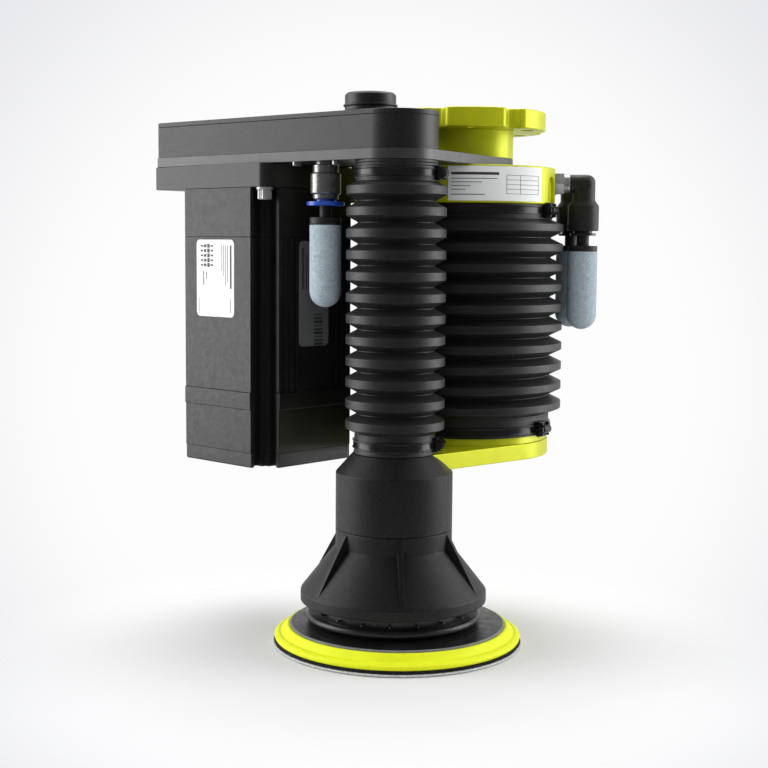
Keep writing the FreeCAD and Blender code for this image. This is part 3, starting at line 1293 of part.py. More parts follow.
def make_elbow_fitting(name, degrees):
    """Elbow fitting on the actuator body, which swivels about its threaded port."""
    at = (ELBOW_AT, 0)
    out = Vec(1, 0, 0)
    hex_to = PORT_HEX_TO
    collar_from = hex_to + PART_GAP
    collar_to = collar_from + ELBOW_COLLAR_L
    corner_r = PORT_HEX / math.sqrt(3)
    points = [Vec(PORT_FLAT_AT, *polar(corner_r, 60 * i + 30, (0, PORT_Z))) for i in range(7)]
    port = Part.Face(Part.makePolygon(points)).extrude(out * PORT_HEX_L)
    thread_from = PORT_FLAT_AT - PORT_HOLE_DEPTH + PART_GAP
    thread_l = PORT_FLAT_AT - thread_from
    port = port.fuse(Part.makeCylinder(PORT_HOLE_R - SEAT_CLEAR, thread_l, Vec(thread_from, 0, PORT_Z), out))
    port = port.fuse(Part.makeCylinder(ELBOW_PIN_R, ELBOW_COLLAR_L, Vec(hex_to, 0, PORT_Z), out))
    barrel_top = PORT_Z - ELBOW_DROP
    mouth = barrel_top - BARREL_H
    collar = Part.makeCylinder(ELBOW_COLLAR_R, ELBOW_COLLAR_L, Vec(collar_from, 0, PORT_Z), out)
    arm = Part.makeCylinder(ELBOW_ARM_R, ELBOW_AT - collar_to, Vec(collar_to, 0, PORT_Z), out)
    upright = cylinder(ELBOW_R, barrel_top, PORT_Z + ELBOW_RISE, at)
    barrel = cylinder(BARREL_R, mouth, barrel_top, at)
    bend = Vec(ELBOW_AT, 0, PORT_Z)
    dimple = Part.makeCylinder(ELBOW_DIMPLE_R, ELBOW_R + ELBOW_DIMPLE_T, bend, Vec(0, -1, 0))
    elbow = collar.fuse([arm, upright, barrel, dimple]).cut(mouth_bore(mouth, at))
    pin_hole_l = ELBOW_COLLAR_L + PART_GAP
    elbow = elbow.cut(Part.makeCylinder(ELBOW_PIN_R + RUN_CLEAR, pin_hole_l, Vec(hex_to, 0, PORT_Z), out))
    low = release_top(mouth) - ELBOW_RELEASE_T
    cap_low = low - ELBOW_STEM_SHOWN - SILENCER_CAP_H
    ring_piece = release_ring(ELBOW_RELEASE_R, ELBOW_RELEASE_T, mouth, at)
    plug = silencer_cap(mouth, low, ELBOW_STEM_SHOWN, at)
    save(f"{name}_port_nut", turned_about(port, degrees))
    save(f"{name}_elbow", turned_about(elbow, degrees))
    save(f"{name}_release_ring", turned_about(ring_piece, degrees))
    save(f"{name}_silencer", turned_about(plug, degrees), turned_about(silencer(cap_low, at), degrees))


def build():
    """Write every sub-part."""
    os.makedirs("parts", exist_ok=True)
    save("robot_flange", make_robot_flange())
    save("belt_plate", make_belt_plate())
    save("belt_cover", make_belt_cover())
    save("cover_lid", make_cover_lid())
    save("port_cap", make_port_cap())
    save("plate_screws", *make_plate_screws())

    driven = make_pulley(DRIVEN_TEETH, SLEEVE_R + SEAT_CLEAR)
    driven.translate(Vec(*SPINDLE_AXIS, 0))
    drive = make_pulley(DRIVE_TEETH, MOTOR_SHAFT_R + SEAT_CLEAR)
    drive.translate(Vec(*MOTOR_AXIS, 0))
    save("driven_pulley", driven)
    save("drive_pulley", drive)
    save("drive_belt", make_drive_belt())
    save("spline_sleeve", make_spline_sleeve())
    save("sleeve_bearings", *make_sleeve_bearings())
    save("bearing_housing", make_bearing_housing())

    save("motor_adapter", make_motor_adapter())
    save("motor_front_shield", make_motor_front())
    save("motor_stator_housing", make_motor_stator())
    save("motor_rear_housing", make_motor_rear())
    save("motor_end_cap", make_motor_cap())
    save("motor_screws", *make_motor_screws())
    save("motor_shaft", make_motor_shaft())

    save("actuator_body", make_actuator_body())
    save("name_plate", make_name_plate())
    save("guide_tube", make_guide_tube())
    save("guide_bush", make_guide_bush())
    save("guide_column", make_guide_column())
    save("anti_turn_rod", make_anti_turn_rod())

    save("small_bellows", make_small_bellows())
    save("large_bellows", make_large_bellows())
    upper = PLATE_BOTTOM - SMALL_CUFF_L + UPPER_BAND_INSET + BAND_W / 2
    lower = ARM_TOP + SMALL_LOWER_BAND_INSET + BAND_W / 2
    save("small_upper_clamp", *make_clamp(SEAT_RING_R, upper, SMALL_UPPER_BUCKLE, SPINDLE_AXIS))
    save("small_lower_clamp", *make_clamp(SEAT_RING_R, lower, SMALL_LOWER_BUCKLE, SPINDLE_AXIS))
    upper = BODY_BOTTOM - UPPER_BAND_INSET - BAND_W / 2
    lower = BASE_RING_TOP + LARGE_LOWER_BAND_INSET + BAND_W / 2
    save("large_upper_clamp", *make_clamp(LARGE_SEAT_R, upper, LARGE_UPPER_BUCKLE, FLANGE_AXIS))
    save("large_lower_clamp", *make_clamp(LARGE_SEAT_R, lower, LARGE_LOWER_BUCKLE, FLANGE_AXIS))

    save("arm", make_arm())
    save("arm_screws", *make_arm_screws())
    save("base_ring", make_base_ring())
    save("spindle_housing", make_spindle_housing())
    save("spindle_bearings", *make_spindle_bearings())
    save("upper_shroud", make_upper_shroud())
    save("shroud_skirt", make_skirt())
    save("brake_ring", make_brake_ring(), *make_brake_pegs())

    save("spindle_shaft", make_spindle_shaft())
    save("eccentric_hub", make_eccentric_hub())
    save("counterweight", make_counterweight())
    save("pad_bearings", *make_pad_bearings())
    save("pad_stub", make_pad_stub())
    save("backing_disc", make_backing_disc())
    save("pad_foam", make_pad_foam())
    save("hook_layer", make_hook_layer())
    save("sanding_disc", make_sanding_disc())

    make_straight_fitting()
    make_elbow_fitting("front", FRONT_PORT_ANGLE)
    make_elbow_fitting("rear", REAR_PORT_ANGLE)


build()
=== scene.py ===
"""Looks of a compliant orbital sanding head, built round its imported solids."""

import logging
import math
import random
from dataclasses import dataclass
from enum import Enum
from functools import cache
from typing import Iterable, Optional, Sequence, Union

import bmesh
import bpy
from mathutils import Matrix, Vector


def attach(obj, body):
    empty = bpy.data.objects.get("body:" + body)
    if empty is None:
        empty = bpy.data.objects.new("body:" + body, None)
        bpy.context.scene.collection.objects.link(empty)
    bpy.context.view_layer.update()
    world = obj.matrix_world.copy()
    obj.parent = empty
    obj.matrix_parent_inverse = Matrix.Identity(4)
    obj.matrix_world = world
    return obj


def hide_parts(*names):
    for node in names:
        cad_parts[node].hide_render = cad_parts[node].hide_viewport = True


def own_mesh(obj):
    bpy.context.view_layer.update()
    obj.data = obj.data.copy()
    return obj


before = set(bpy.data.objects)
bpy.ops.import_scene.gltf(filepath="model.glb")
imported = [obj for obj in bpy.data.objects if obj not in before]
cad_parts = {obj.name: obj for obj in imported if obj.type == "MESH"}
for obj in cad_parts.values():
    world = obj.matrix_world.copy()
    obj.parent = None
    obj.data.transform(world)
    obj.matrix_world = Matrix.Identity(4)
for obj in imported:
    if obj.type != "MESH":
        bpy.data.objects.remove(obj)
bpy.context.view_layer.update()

MM = 0.001
LOG = logging.getLogger("sanding_head")

Colour = tuple[float, float, float]
Triple = tuple[float, float, float]
Place = tuple[float, float]
Section = Sequence[Place]
Mesh = bmesh.types.BMesh
Socket = bpy.types.NodeSocket

FLANGE_AXIS: Place = (0.0, 0.0)
SPINDLE_AXIS: Place = (20.695, -90.504)


def polar(radius: float, degrees: float, centre: Place = FLANGE_AXIS) -> Place:
    """Give the place at a radius and angle about an upright axis."""
    angle = math.radians(degrees)
    return centre[0] + radius * math.cos(angle), centre[1] + radius * math.sin(angle)


def along(distance: float, across: float) -> Place:
    """Give the place at a distance along the belt line from the spindle, and across it."""
    return SPINDLE_AXIS[0] - distance, SPINDLE_AXIS[1] + across


MOTOR_ACROSS = 6.25
MOTOR_SIDE = 87.5
MOTOR_AXIS = along(117.55, MOTOR_ACROSS)
PAD_AXIS = polar(2.5, 45.0, SPINDLE_AXIS)
PLATE_BOTTOM = -35.0
ARM_TOP = -207.0
MOTTLE_STOPS = (0.35, 0.65)
GLOSS_SPAN = (0.3, 0.7)
GLOSS_COARSER = 6
LAYER_SCALE = (0.12, 0.12, 1.0)
LAYER_COARSER = 1.6
LAYER_SHARE = 0.35
CELL_COARSER = 2.2
CELL_SHARE = 0.8


class Body(Enum):
    """Moving bodies that pieces ride on."""

    HEAD = "head"
    CARRIAGE = "carriage"
    PAD = "pad"
    FRONT_FITTING = "front_fitting"
    REAR_FITTING = "rear_fitting"
    STRAIGHT_RELEASE = "straight_release"
    FRONT_RELEASE = "front_release"
    REAR_RELEASE = "rear_release"


class Grain(Enum):
    """Kinds of relief: scale of the pattern along each axis, octaves and their strength."""

    FINE = ((1.0, 1.0, 1.0), 5.0, 0.55)
    TURNED = ((0.02, 0.02, 1.0), 6.0, 0.55)
    BRUSHED = ((0.03, 1.0, 1.0), 5.0, 0.55)
    SINTERED = ((1.0, 1.0, 1.0), 8.0, 0.75)
    POROUS = ((1.0, 1.0, 1.0), 6.0, 0.8)


# Finishes


class Board:
    """A node tree under construction."""

    def __init__(self, owner: Union[bpy.types.Material, bpy.types.World]) -> None:
        """Open the tree of a new material or world."""
        owner.use_nodes = True
        self.tree = owner.node_tree

    def feed(self, node: bpy.types.Node, inputs: dict[Union[str, int], object]) -> None:
        """Link or set a node's inputs.

        Args:
            node: The node.
            inputs: A source socket or a constant for each input, by its name or number.
        """
        for key, value in inputs.items():
            if isinstance(value, Socket):
                self.tree.links.new(value, node.inputs[key])
            else:
                node.inputs[key].default_value = value

    def node(self, kind: str, inputs: Optional[dict] = None, **options: object) -> bpy.types.Node:
        """Add a node.

        Args:
            kind: Type of the node.
            inputs: A source socket or a constant for each input, by its name or number.
            options: Settings of the node.

        Returns:
            The node.
        """
        node = self.tree.nodes.new(kind)
        for key, value in options.items():
            setattr(node, key, value)
        self.feed(node, inputs or {})
        return node

    def spot(self) -> Socket:
        """Give object coordinates in metres."""
        return self.node("ShaderNodeTexCoord").outputs["Object"]

    def mapped(self, spot: Socket, **change: Triple) -> Socket:
        """Scale coordinates, which draws a pattern out along the small axes, or shift them."""
        return self.node("ShaderNodeMapping", {"Vector": spot, **change}).outputs["Vector"]

    def noise(self, spot: Socket, size: float, octaves: float = 4.0, rough: float = 0.55) -> Socket:
        """Add noise whose features have a size in millimetres."""
        inputs = {"Vector": spot, "Scale": 1.0 / (size * MM), "Detail": octaves, "Roughness": rough}
        return self.node("ShaderNodeTexNoise", inputs).outputs["Fac"]

    def ranged(self, value: Socket, low: float, high: float, first: float = 0.0, last: float = 1.0,
               rise: str = "LINEAR") -> Socket:
        """Map a value between two levels onto the span from first to last."""
        inputs = {"Value": value, "From Min": low, "From Max": high, "To Min": first, "To Max": last}
        return self.node("ShaderNodeMapRange", inputs, interpolation_type=rise).outputs["Result"]

    def sum_of(self, base: Socket, value: Socket, share: float) -> Socket:
        """Add a share of a value to a base."""
        return self.node("ShaderNodeMath", {0: value, 1: share, 2: base}, operation="MULTIPLY_ADD").outputs[0]

    def distance(self, spot: Socket, place: Sequence[float]) -> Socket:
        """Give the distance from a place."""
        return self.node("ShaderNodeVectorMath", {0: spot, 1: place}, operation="DISTANCE").outputs["Value"]

    def mixed(self, mask: Socket, base: Union[Socket, tuple], colour: Colour) -> Socket:
        """Lay a colour over a base where a mask says so."""
        inputs = {0: mask, 6: base, 7: (*colour, 1.0)}
        return self.node("ShaderNodeMix", inputs, data_type="RGBA").outputs[2]

    def blended(self, mask: Socket, first: Socket, second: Socket, output: str) -> None:
        """Lead a blend of two shaders to an output node."""
        blend = self.node("ShaderNodeMixShader", {0: mask, 1: first, 2: second})
        self.feed(self.tree.nodes[output], {"Surface": blend.outputs[0]})


@dataclass(frozen=True)
class Finish:
    """One surface finish with its mottle, relief and gloss, in millimetres."""

    name: str
    slot: str
    colour: Colour
    second: Colour
    roughness: tuple[float, float] = (0.45, 0.55)
    mottle: float = 6.0
    grain_size: float = 0.4
    relief: float = 0.02
    specular: float = 0.5
    metallic: float = 0.0
    grain: Grain = Grain.FINE
    coat: float = 0.0
    coat_roughness: float = 0.25

    @cache
    def material(self) -> bpy.types.Material:
        """Build the material of this finish at its first use.

        Returns:
            The material.
        """
        material = bpy.data.materials.new(self.name)
        board = Board(material)
        spot = board.spot()
        gloss = board.noise(spot, self.grain_size * GLOSS_COARSER, 3.0)
        bump = {"Strength": 1.0, "Distance": self.relief * MM, "Height": self.height(board, spot)}
        board.feed(board.tree.nodes["Principled BSDF"], {
            "Base Color": self.colouring(board, spot),
            "Roughness": board.ranged(gloss, *GLOSS_SPAN, *self.roughness),
            "Normal": board.node("ShaderNodeBump", bump).outputs["Normal"],
            "Metallic": self.metallic, "Specular IOR Level": self.specular,
            "Coat Weight": self.coat, "Coat Roughness": self.coat_roughness})
        return material

    def colouring(self, board: Board, spot: Socket) -> Socket:
        """Blend the two colours in blotches.

        Args:
            board: The node tree under construction.
            spot: Object coordinates.

        Returns:
            A colour.
        """
        ramp = board.node("ShaderNodeValToRGB", {"Fac": board.noise(spot, self.mottle)})
        for stop, place, colour in zip(ramp.color_ramp.elements, MOTTLE_STOPS, (self.colour, self.second)):
            stop.position = place
            stop.color = (*colour, 1.0)
        return ramp.outputs["Color"]

    def height(self, board: Board, spot: Socket) -> Socket:
        """Give the height that the relief is made of.

        Args:
            board: The node tree under construction.
            spot: Object coordinates.

        Returns:
            A height.
        """
        scale, octaves, rough = self.grain.value
        fine = board.noise(board.mapped(spot, Scale=scale), self.grain_size, octaves, rough)
        if self.grain is Grain.SINTERED:
            layers = board.noise(board.mapped(spot, Scale=LAYER_SCALE), self.grain_size * LAYER_COARSER, 2.0)
            return board.sum_of(fine, layers, LAYER_SHARE)
        if self.grain is Grain.POROUS:
            cells = {"Vector": spot, "Scale": 1.0 / (self.grain_size * CELL_COARSER * MM)}
            return board.sum_of(fine, board.node("ShaderNodeTexVoronoi", cells).outputs["Distance"], CELL_SHARE)
        return fine


@dataclass(frozen=True)
class SpeckledFinish(Finish):
    """A finish with two further colours of fine specks, as pressed granules have."""

    dark_speck: Colour = (0.20, 0.26, 0.31)
    pale_speck: Colour = (0.58, 0.66, 0.72)
    speck_size: float = 0.8
    shift: Triple = (0.37, -0.37, 0.185)
    dark_rise: Place = (0.56, 0.64)
    pale_rise: Place = (0.57, 0.66)

    def colouring(self, board: Board, spot: Socket) -> Socket:
        """Lay the specks over the blotches.

        Args:
            board: The node tree under construction.
            spot: Object coordinates.

        Returns:
            A colour.
        """
        base = super().colouring(board, spot)
        dark = board.ranged(board.noise(spot, self.speck_size, 4.0, 0.7), *self.dark_rise)
        moved = board.mapped(spot, Location=self.shift)
        pale = board.ranged(board.noise(moved, self.speck_size * 0.8, 4.0, 0.7), *self.pale_rise)
        return board.mixed(pale, board.mixed(dark, base, self.dark_speck), self.pale_speck)


def grey(level: float, blue: Optional[float] = None) -> Colour:
    """Give a grey whose blue can differ by a trace."""
    return level, level, blue or level


LIME = Finish("lime_anodised", "lime_aluminium", (0.56, 0.60, 0.003), (0.61, 0.65, 0.006), (0.34, 0.44),
              14.0, 0.25, 0.012, specular=0.4, metallic=0.3)
LIME_TURNED = Finish("lime_turned", "lime_aluminium", (0.54, 0.58, 0.004), (0.64, 0.69, 0.008), (0.28, 0.4),
                     10.0, 0.35, 0.03, metallic=0.3, grain=Grain.TURNED)
SINTERED = Finish("sintered_plastic", "cover_plastic", grey(0.006, 0.0061), grey(0.016, 0.0162), (0.38, 0.46),
                  1.1, 0.4, 0.065, specular=0.48, grain=Grain.SINTERED)
SHROUD = Finish("shroud_plastic", "cover_plastic", grey(0.002), grey(0.010, 0.0101), (0.44, 0.54),
                1.1, 0.5, 0.10, specular=0.32, grain=Grain.SINTERED)
PLATE = Finish("black_anodised_plate", "plate_black", grey(0.040, 0.0408), grey(0.052, 0.053), (0.32, 0.4),
               12.0, 0.3, 0.004, specular=0.7, metallic=0.2, grain=Grain.BRUSHED)
ADAPTER = Finish("adapter_black", "plate_black", grey(0.014, 0.0142), grey(0.018, 0.0182), (0.36, 0.44),
                 12.0, 0.3, 0.005, specular=0.42, grain=Grain.BRUSHED)
MOTOR = Finish("motor_paint", "motor_black", grey(0.009, 0.0092), grey(0.012, 0.0122), (0.36, 0.46),
               18.0, 0.5, 0.012, specular=0.38)
BELLOWS = Finish("bellows_rubber", "bellows_rubber", grey(0.008, 0.0081), grey(0.012, 0.0122), (0.44, 0.54),
                 7.0, 0.35, 0.016, specular=0.55)
CLAMP = Finish("clamp_coating", "clamp_steel", grey(0.008, 0.0082), grey(0.012, 0.0122), (0.2, 0.28),
               4.0, 0.6, 0.0015, metallic=0.2)
STEEL = Finish("turned_steel", "screw_steel", (0.42, 0.41, 0.40), (0.55, 0.54, 0.53), (0.22, 0.36),
               3.0, 0.25, 0.01, metallic=1.0, grain=Grain.BRUSHED)
PLATED = Finish("plated_fitting", "screw_steel", grey(0.24, 0.245), grey(0.32, 0.325), (0.26, 0.34),
                3.0, 0.3, 0.006, metallic=0.85, grain=Grain.TURNED)
NICKEL = Finish("nickel_plate", "screw_steel", grey(0.40, 0.41), grey(0.52, 0.53), (0.24, 0.34),
                6.0, 0.6, 0.0006, metallic=0.6, grain=Grain.BRUSHED)
BEARING = Finish("bearing_steel", "bearing_steel", grey(0.55, 0.56), grey(0.65, 0.66), (0.18, 0.28),
                 3.0, 0.25, 0.006, metallic=1.0, grain=Grain.TURNED)
BARE = Finish("bare_aluminium", "bare_aluminium", (0.6, 0.61, 0.62), (0.7, 0.71, 0.72), (0.28, 0.4),
              6.0, 0.3, 0.008, metallic=1.0, grain=Grain.TURNED)
BRONZE = Finish("bush_bronze", "bush_bronze", (0.5, 0.33, 0.14), (0.6, 0.42, 0.2), (0.3, 0.42),
                5.0, 0.3, 0.008, metallic=1.0)
BELT = Finish("belt_rubber", "belt_rubber", grey(0.02), grey(0.03), (0.6, 0.7), 4.0)
MOULDED = Finish("fitting_moulding", "fitting_black", grey(0.014, 0.0145), grey(0.02, 0.0205), (0.48, 0.58),
                 5.0, 0.3, 0.01, specular=0.42)
BLUE = Finish("release_blue", "release_blue", (0.012, 0.06, 0.42), (0.018, 0.085, 0.5), (0.25, 0.35),
              4.0, 0.4, 0.005, coat=0.2)
RELEASE = Finish("release_black", "release_black", grey(0.014, 0.015), grey(0.02, 0.021), (0.25, 0.36), 4.0, 0.4, 0.005)
SILENCER = SpeckledFinish("silencer_granules", "silencer_blue", (0.36, 0.44, 0.50), (0.46, 0.54, 0.60),
                          (0.7, 0.85), 2.5, 0.5, 0.16, specular=0.3, grain=Grain.POROUS)
LABEL = Finish("label_plate", "label_silver", (0.76, 0.77, 0.775), (0.82, 0.83, 0.835), (0.32, 0.42), 20.0, 0.6, 0.002)
LABEL_GREY = Finish("label_grey", "label_silver", (0.16, 0.165, 0.17), (0.2, 0.205, 0.21), (0.4, 0.5), 20.0, 0.6, 0.002)
INK = Finish("label_rule", "motor_black", grey(0.03), grey(0.05), (0.5, 0.6), 2.0, relief=0.001)
BACKING = Finish("backing_disc", "backing_black", grey(0.006), grey(0.012), (0.24, 0.42),
                 16.0, 0.8, 0.008, specular=0.3)
# painted highlight: a pale grey ring that stands in for the light caught by the black backing disc's glossy edge
BACKING_RIM_HIGHLIGHT = Finish("backing_rim_highlight", "backing_black", (0.16, 0.165, 0.165), (0.22, 0.225, 0.225), (0.4, 0.5),
                      8.0, 0.5, 0.01)
BRAKE = Finish("brake_rubber", "brake_rubber", grey(0.010, 0.0102), grey(0.016, 0.0162), (0.28, 0.4),
               10.0, 0.5, 0.014, specular=0.45)
STUD = Finish("brake_stud", "brake_rubber", grey(0.03), grey(0.05), (0.35, 0.5), 3.0)
FOAM = Finish("pad_foam", "foam_lime", (0.80, 0.88, 0.002), (0.86, 0.94, 0.004), (0.5, 0.62),
              14.0, 0.7, 0.02, specular=0.35)
HOOK = Finish("hook_fibres", "hook_black", grey(0.008), grey(0.03), (0.8, 0.95),
              0.8, 0.4, 0.3, specular=0.2, grain=Grain.POROUS)
DISC = SpeckledFinish("sanding_disc", "disc_grey", (0.50, 0.51, 0.52), (0.66, 0.67, 0.68), (0.75, 0.9),
                      1.2, 0.35, 0.1, specular=0.25, grain=Grain.POROUS,
                      dark_speck=grey(0.12), pale_speck=grey(0.78), speck_size=0.7)
FLOOR = Finish("floor_pale", "floor", grey(0.74, 0.75), grey(0.75, 0.76), mottle=900.0)

INNER_PIECES: dict[Finish, tuple[str, ...]] = {
    BARE: ("driven_pulley", "drive_pulley", "bearing_housing", "guide_tube", "spindle_housing", "eccentric_hub"),
    BEARING: ("spline_sleeve", "sleeve_bearings", "motor_shaft", "guide_column", "anti_turn_rod",
              "spindle_bearings", "spindle_shaft", "pad_bearings", "pad_stub"),
    STEEL: ("counterweight", "arm_screws"),
    PLATED: ("plate_screws",),
    BRONZE: ("guide_bush",),
    BELT: ("drive_belt",),
}


def dress_inner() -> None:
    """Give the solids that stay in view, or lie inside, their finishes."""
    for finish, names in INNER_PIECES.items():
        for name in names:
            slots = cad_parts[name].data.materials
            slots.clear()
            slots.append(finish.material())


# Shaping


def spoke(degrees: float, centre: Place = FLANGE_AXIS) -> Matrix:
    """Give the matrix that carries a piece built along +X to a spoke of an upright axis."""
    return Matrix.Translation((*centre, 0)) @ Matrix.Rotation(math.radians(degrees), 4, "Z")


def lying(place: Triple, axis: str) -> Matrix:
    """Give the matrix that tips an upright piece about an axis and carries it to a place."""
    return Matrix.Translation(place) @ Matrix.Rotation(math.pi / 2, 4, axis)


def spun(section: Section, centre: Place = FLANGE_AXIS, steps: int = 144, start: float = 0.0,
         sweep: float = 360.0) -> Mesh:
    """Turn a closed section about an upright axis.

    Args:
        section: Radius and level pairs in millimetres.
        centre: Place of the axis.
        steps: Steps over the sweep.
        start: Angle at which the sweep starts.
        sweep: Angle that it covers.

    Returns:
        A closed mesh in millimetres.
    """
    mesh = bmesh.new()
    verts = [mesh.verts.new((radius, 0.0, level)) for radius, level in section]
    edges = [mesh.edges.new(pair) for pair in zip(verts, verts[1:] + verts[:1])]
    whole = sweep == 360.0
    bmesh.ops.spin(mesh, geom=verts + edges, cent=(0, 0, 0), axis=(0, 0, 1), angle=math.radians(sweep),
                   steps=steps, use_merge=whole)
    bmesh.ops.remove_doubles(mesh, verts=mesh.verts, dist=1e-4)
    if not whole:
        bmesh.ops.holes_fill(mesh, edges=[edge for edge in mesh.edges if edge.is_boundary])
    placed(mesh, spoke(start, centre))
    bmesh.ops.recalc_face_normals(mesh, faces=mesh.faces)
    return mesh


def hulled(circles: Iterable[Triple], low: float, high: float, segments: int = 96) -> Mesh:
    """Wrap a run of circles in one upright prism.

    Args:
        circles: Place and radius of each circle in millimetres.
        low: Level of the underside.
        high: Level of the top.
        segments: Sides of each circle.

    Returns:
        A closed mesh in millimetres.
    """
    mesh = bmesh.new()
    for x, y, radius in circles:
        for level in (low, high):
            bmesh.ops.create_circle(mesh, cap_ends=False, segments=segments, radius=radius,
                                    matrix=Matrix.Translation((x, y, level)))
    hull = bmesh.ops.convex_hull(mesh, input=mesh.verts, use_existing_faces=False)
    spare = {part for part in hull["geom_interior"] + hull["geom_unused"] if isinstance(part, bmesh.types.BMVert)}
    bmesh.ops.delete(mesh, geom=list(spare), context="VERTS")
    bmesh.ops.delete(mesh, geom=[edge for edge in mesh.edges if not edge.link_faces], context="EDGES")
    bmesh.ops.dissolve_limit(mesh, angle_limit=math.radians(0.3), verts=mesh.verts, edges=mesh.edges)
    bmesh.ops.recalc_face_normals(mesh, faces=mesh.faces)
    return mesh


def block(size: Triple, centre: Triple) -> Mesh:
    """Make a block in millimetres.

    Args:
        size: Length along each axis.
        centre: Place of its middle.

    Returns:
        A closed mesh.
    """
    mesh = bmesh.new()
    bmesh.ops.create_cube(mesh, size=1.0)
    bmesh.ops.scale(mesh, vec=size, verts=mesh.verts)
    return placed(mesh, Matrix.Translation(centre))


def rod(radius: float, length: float, segments: int = 48) -> Mesh:
    """Make an upright bar centred on the origin.

    Args:
        radius: Radius in millimetres.
        length: Length in millimetres.
        segments: Number of sides.

    Returns:
        A closed mesh.
    """
    mesh = bmesh.new()
    bmesh.ops.create_cone(mesh, cap_ends=True, segments=segments, radius1=radius, radius2=radius, depth=length)
    return mesh


def soften(mesh: Mesh, width: float, segments: int = 2, angle: float = 28.0) -> Mesh:
    """Round the sharp edges of a mesh.

    Args:
        mesh: The mesh in millimetres.
        width: Width of the rounding.
        segments: Facets over the rounding.
        angle: Smallest angle that counts as sharp.

    Returns:
        The same mesh.
    """
    limit = math.radians(angle)
    sharp = [edge for edge in mesh.edges if len(edge.link_faces) == 2 and edge.calc_face_angle(0.0) > limit]
    return bevelled(mesh, sharp, width, segments)


def bevelled(mesh: Mesh, edges: list[bmesh.types.BMEdge], width: float, segments: int) -> Mesh:
    """Bevel some edges of a mesh by a width, in a number of facets."""
    bmesh.ops.bevel(mesh, geom=edges, offset=width, offset_type="OFFSET", segments=segments, profile=0.5,
                    affect="EDGES", clamp_overlap=True, material=-1)
    return mesh


def placed(mesh: Mesh, matrix: Matrix) -> Mesh:
    """Move a mesh by a matrix."""
    bmesh.ops.transform(mesh, matrix=matrix, verts=mesh.verts)
    return mesh


def linked(name: str, data: bpy.types.ID) -> bpy.types.Object:
    """Put new data into the scene as an object.

    Args:
        name: Name of the object.
        data: Its mesh, light or camera.

    Returns:
        The object.
    """
    obj = bpy.data.objects.new(name, data)
    bpy.context.scene.collection.objects.link(obj)
    return obj


def joined(meshes: Sequence[Mesh]) -> Mesh:
    """Join meshes into the first of them.

    Args:
        meshes: The meshes, of which all but the first are freed.

    Returns:
        The first mesh.
    """
    whole = meshes[0]
    for mesh in meshes[1:]:
        data = bpy.data.meshes.new("joining")
        mesh.to_mesh(data)
        mesh.free()
        whole.from_mesh(data)
        bpy.data.meshes.remove(data)
    return whole


def piece(mesh: Mesh, name: str, body: Body, finish: Finish, *replaces: str,
          sharp: float = 32.0) -> bpy.types.Object:
    """Turn a finished mesh into a piece that rides on a body.

    Args:
        mesh: The mesh in millimetres.
        name: Name of the piece.
        body: Body that it rides on.
        finish: Its surface finish.
        replaces: Solids that it stands for.
        sharp: Edge angle above which shading breaks.

    Returns:
        The new object.
    """
    bmesh.ops.scale(mesh, vec=(MM, MM, MM), verts=mesh.verts)
    data = bpy.data.meshes.new(name)
    mesh.to_mesh(data)
    mesh.free()
    data.shade_smooth()
    data.set_sharp_from_angle(angle=math.radians(sharp))
    data.materials.append(finish.material())
    obj = linked(name, data)
    obj.modifiers.new("weighted_normals", "WEIGHTED_NORMAL").keep_sharp = True
    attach(obj, body.value)
    if replaces:
        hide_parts(*replaces)
    LOG.info("piece %s rides on %s", name, body.value)
    return obj


def refined(node: str, width: float, segments: int = 2) -> Mesh:
    """Copy a solid's mesh, merge its facets and round its edges.

    Args:
        node: Name of the solid.
        width: Width of the rounding in millimetres.
        segments: Facets over the rounding.

    Returns:
        A closed mesh in millimetres.
    """
    mesh = bmesh.new()
    mesh.from_mesh(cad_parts[node].data)
    bmesh.ops.scale(mesh, vec=(1 / MM, 1 / MM, 1 / MM), verts=mesh.verts)
    bmesh.ops.remove_doubles(mesh, verts=mesh.verts, dist=2e-3)
    bmesh.ops.dissolve_limit(mesh, angle_limit=math.radians(0.4), verts=mesh.verts, edges=mesh.edges)
    return soften(mesh, width, segments, 34.0)


# Sub-assemblies


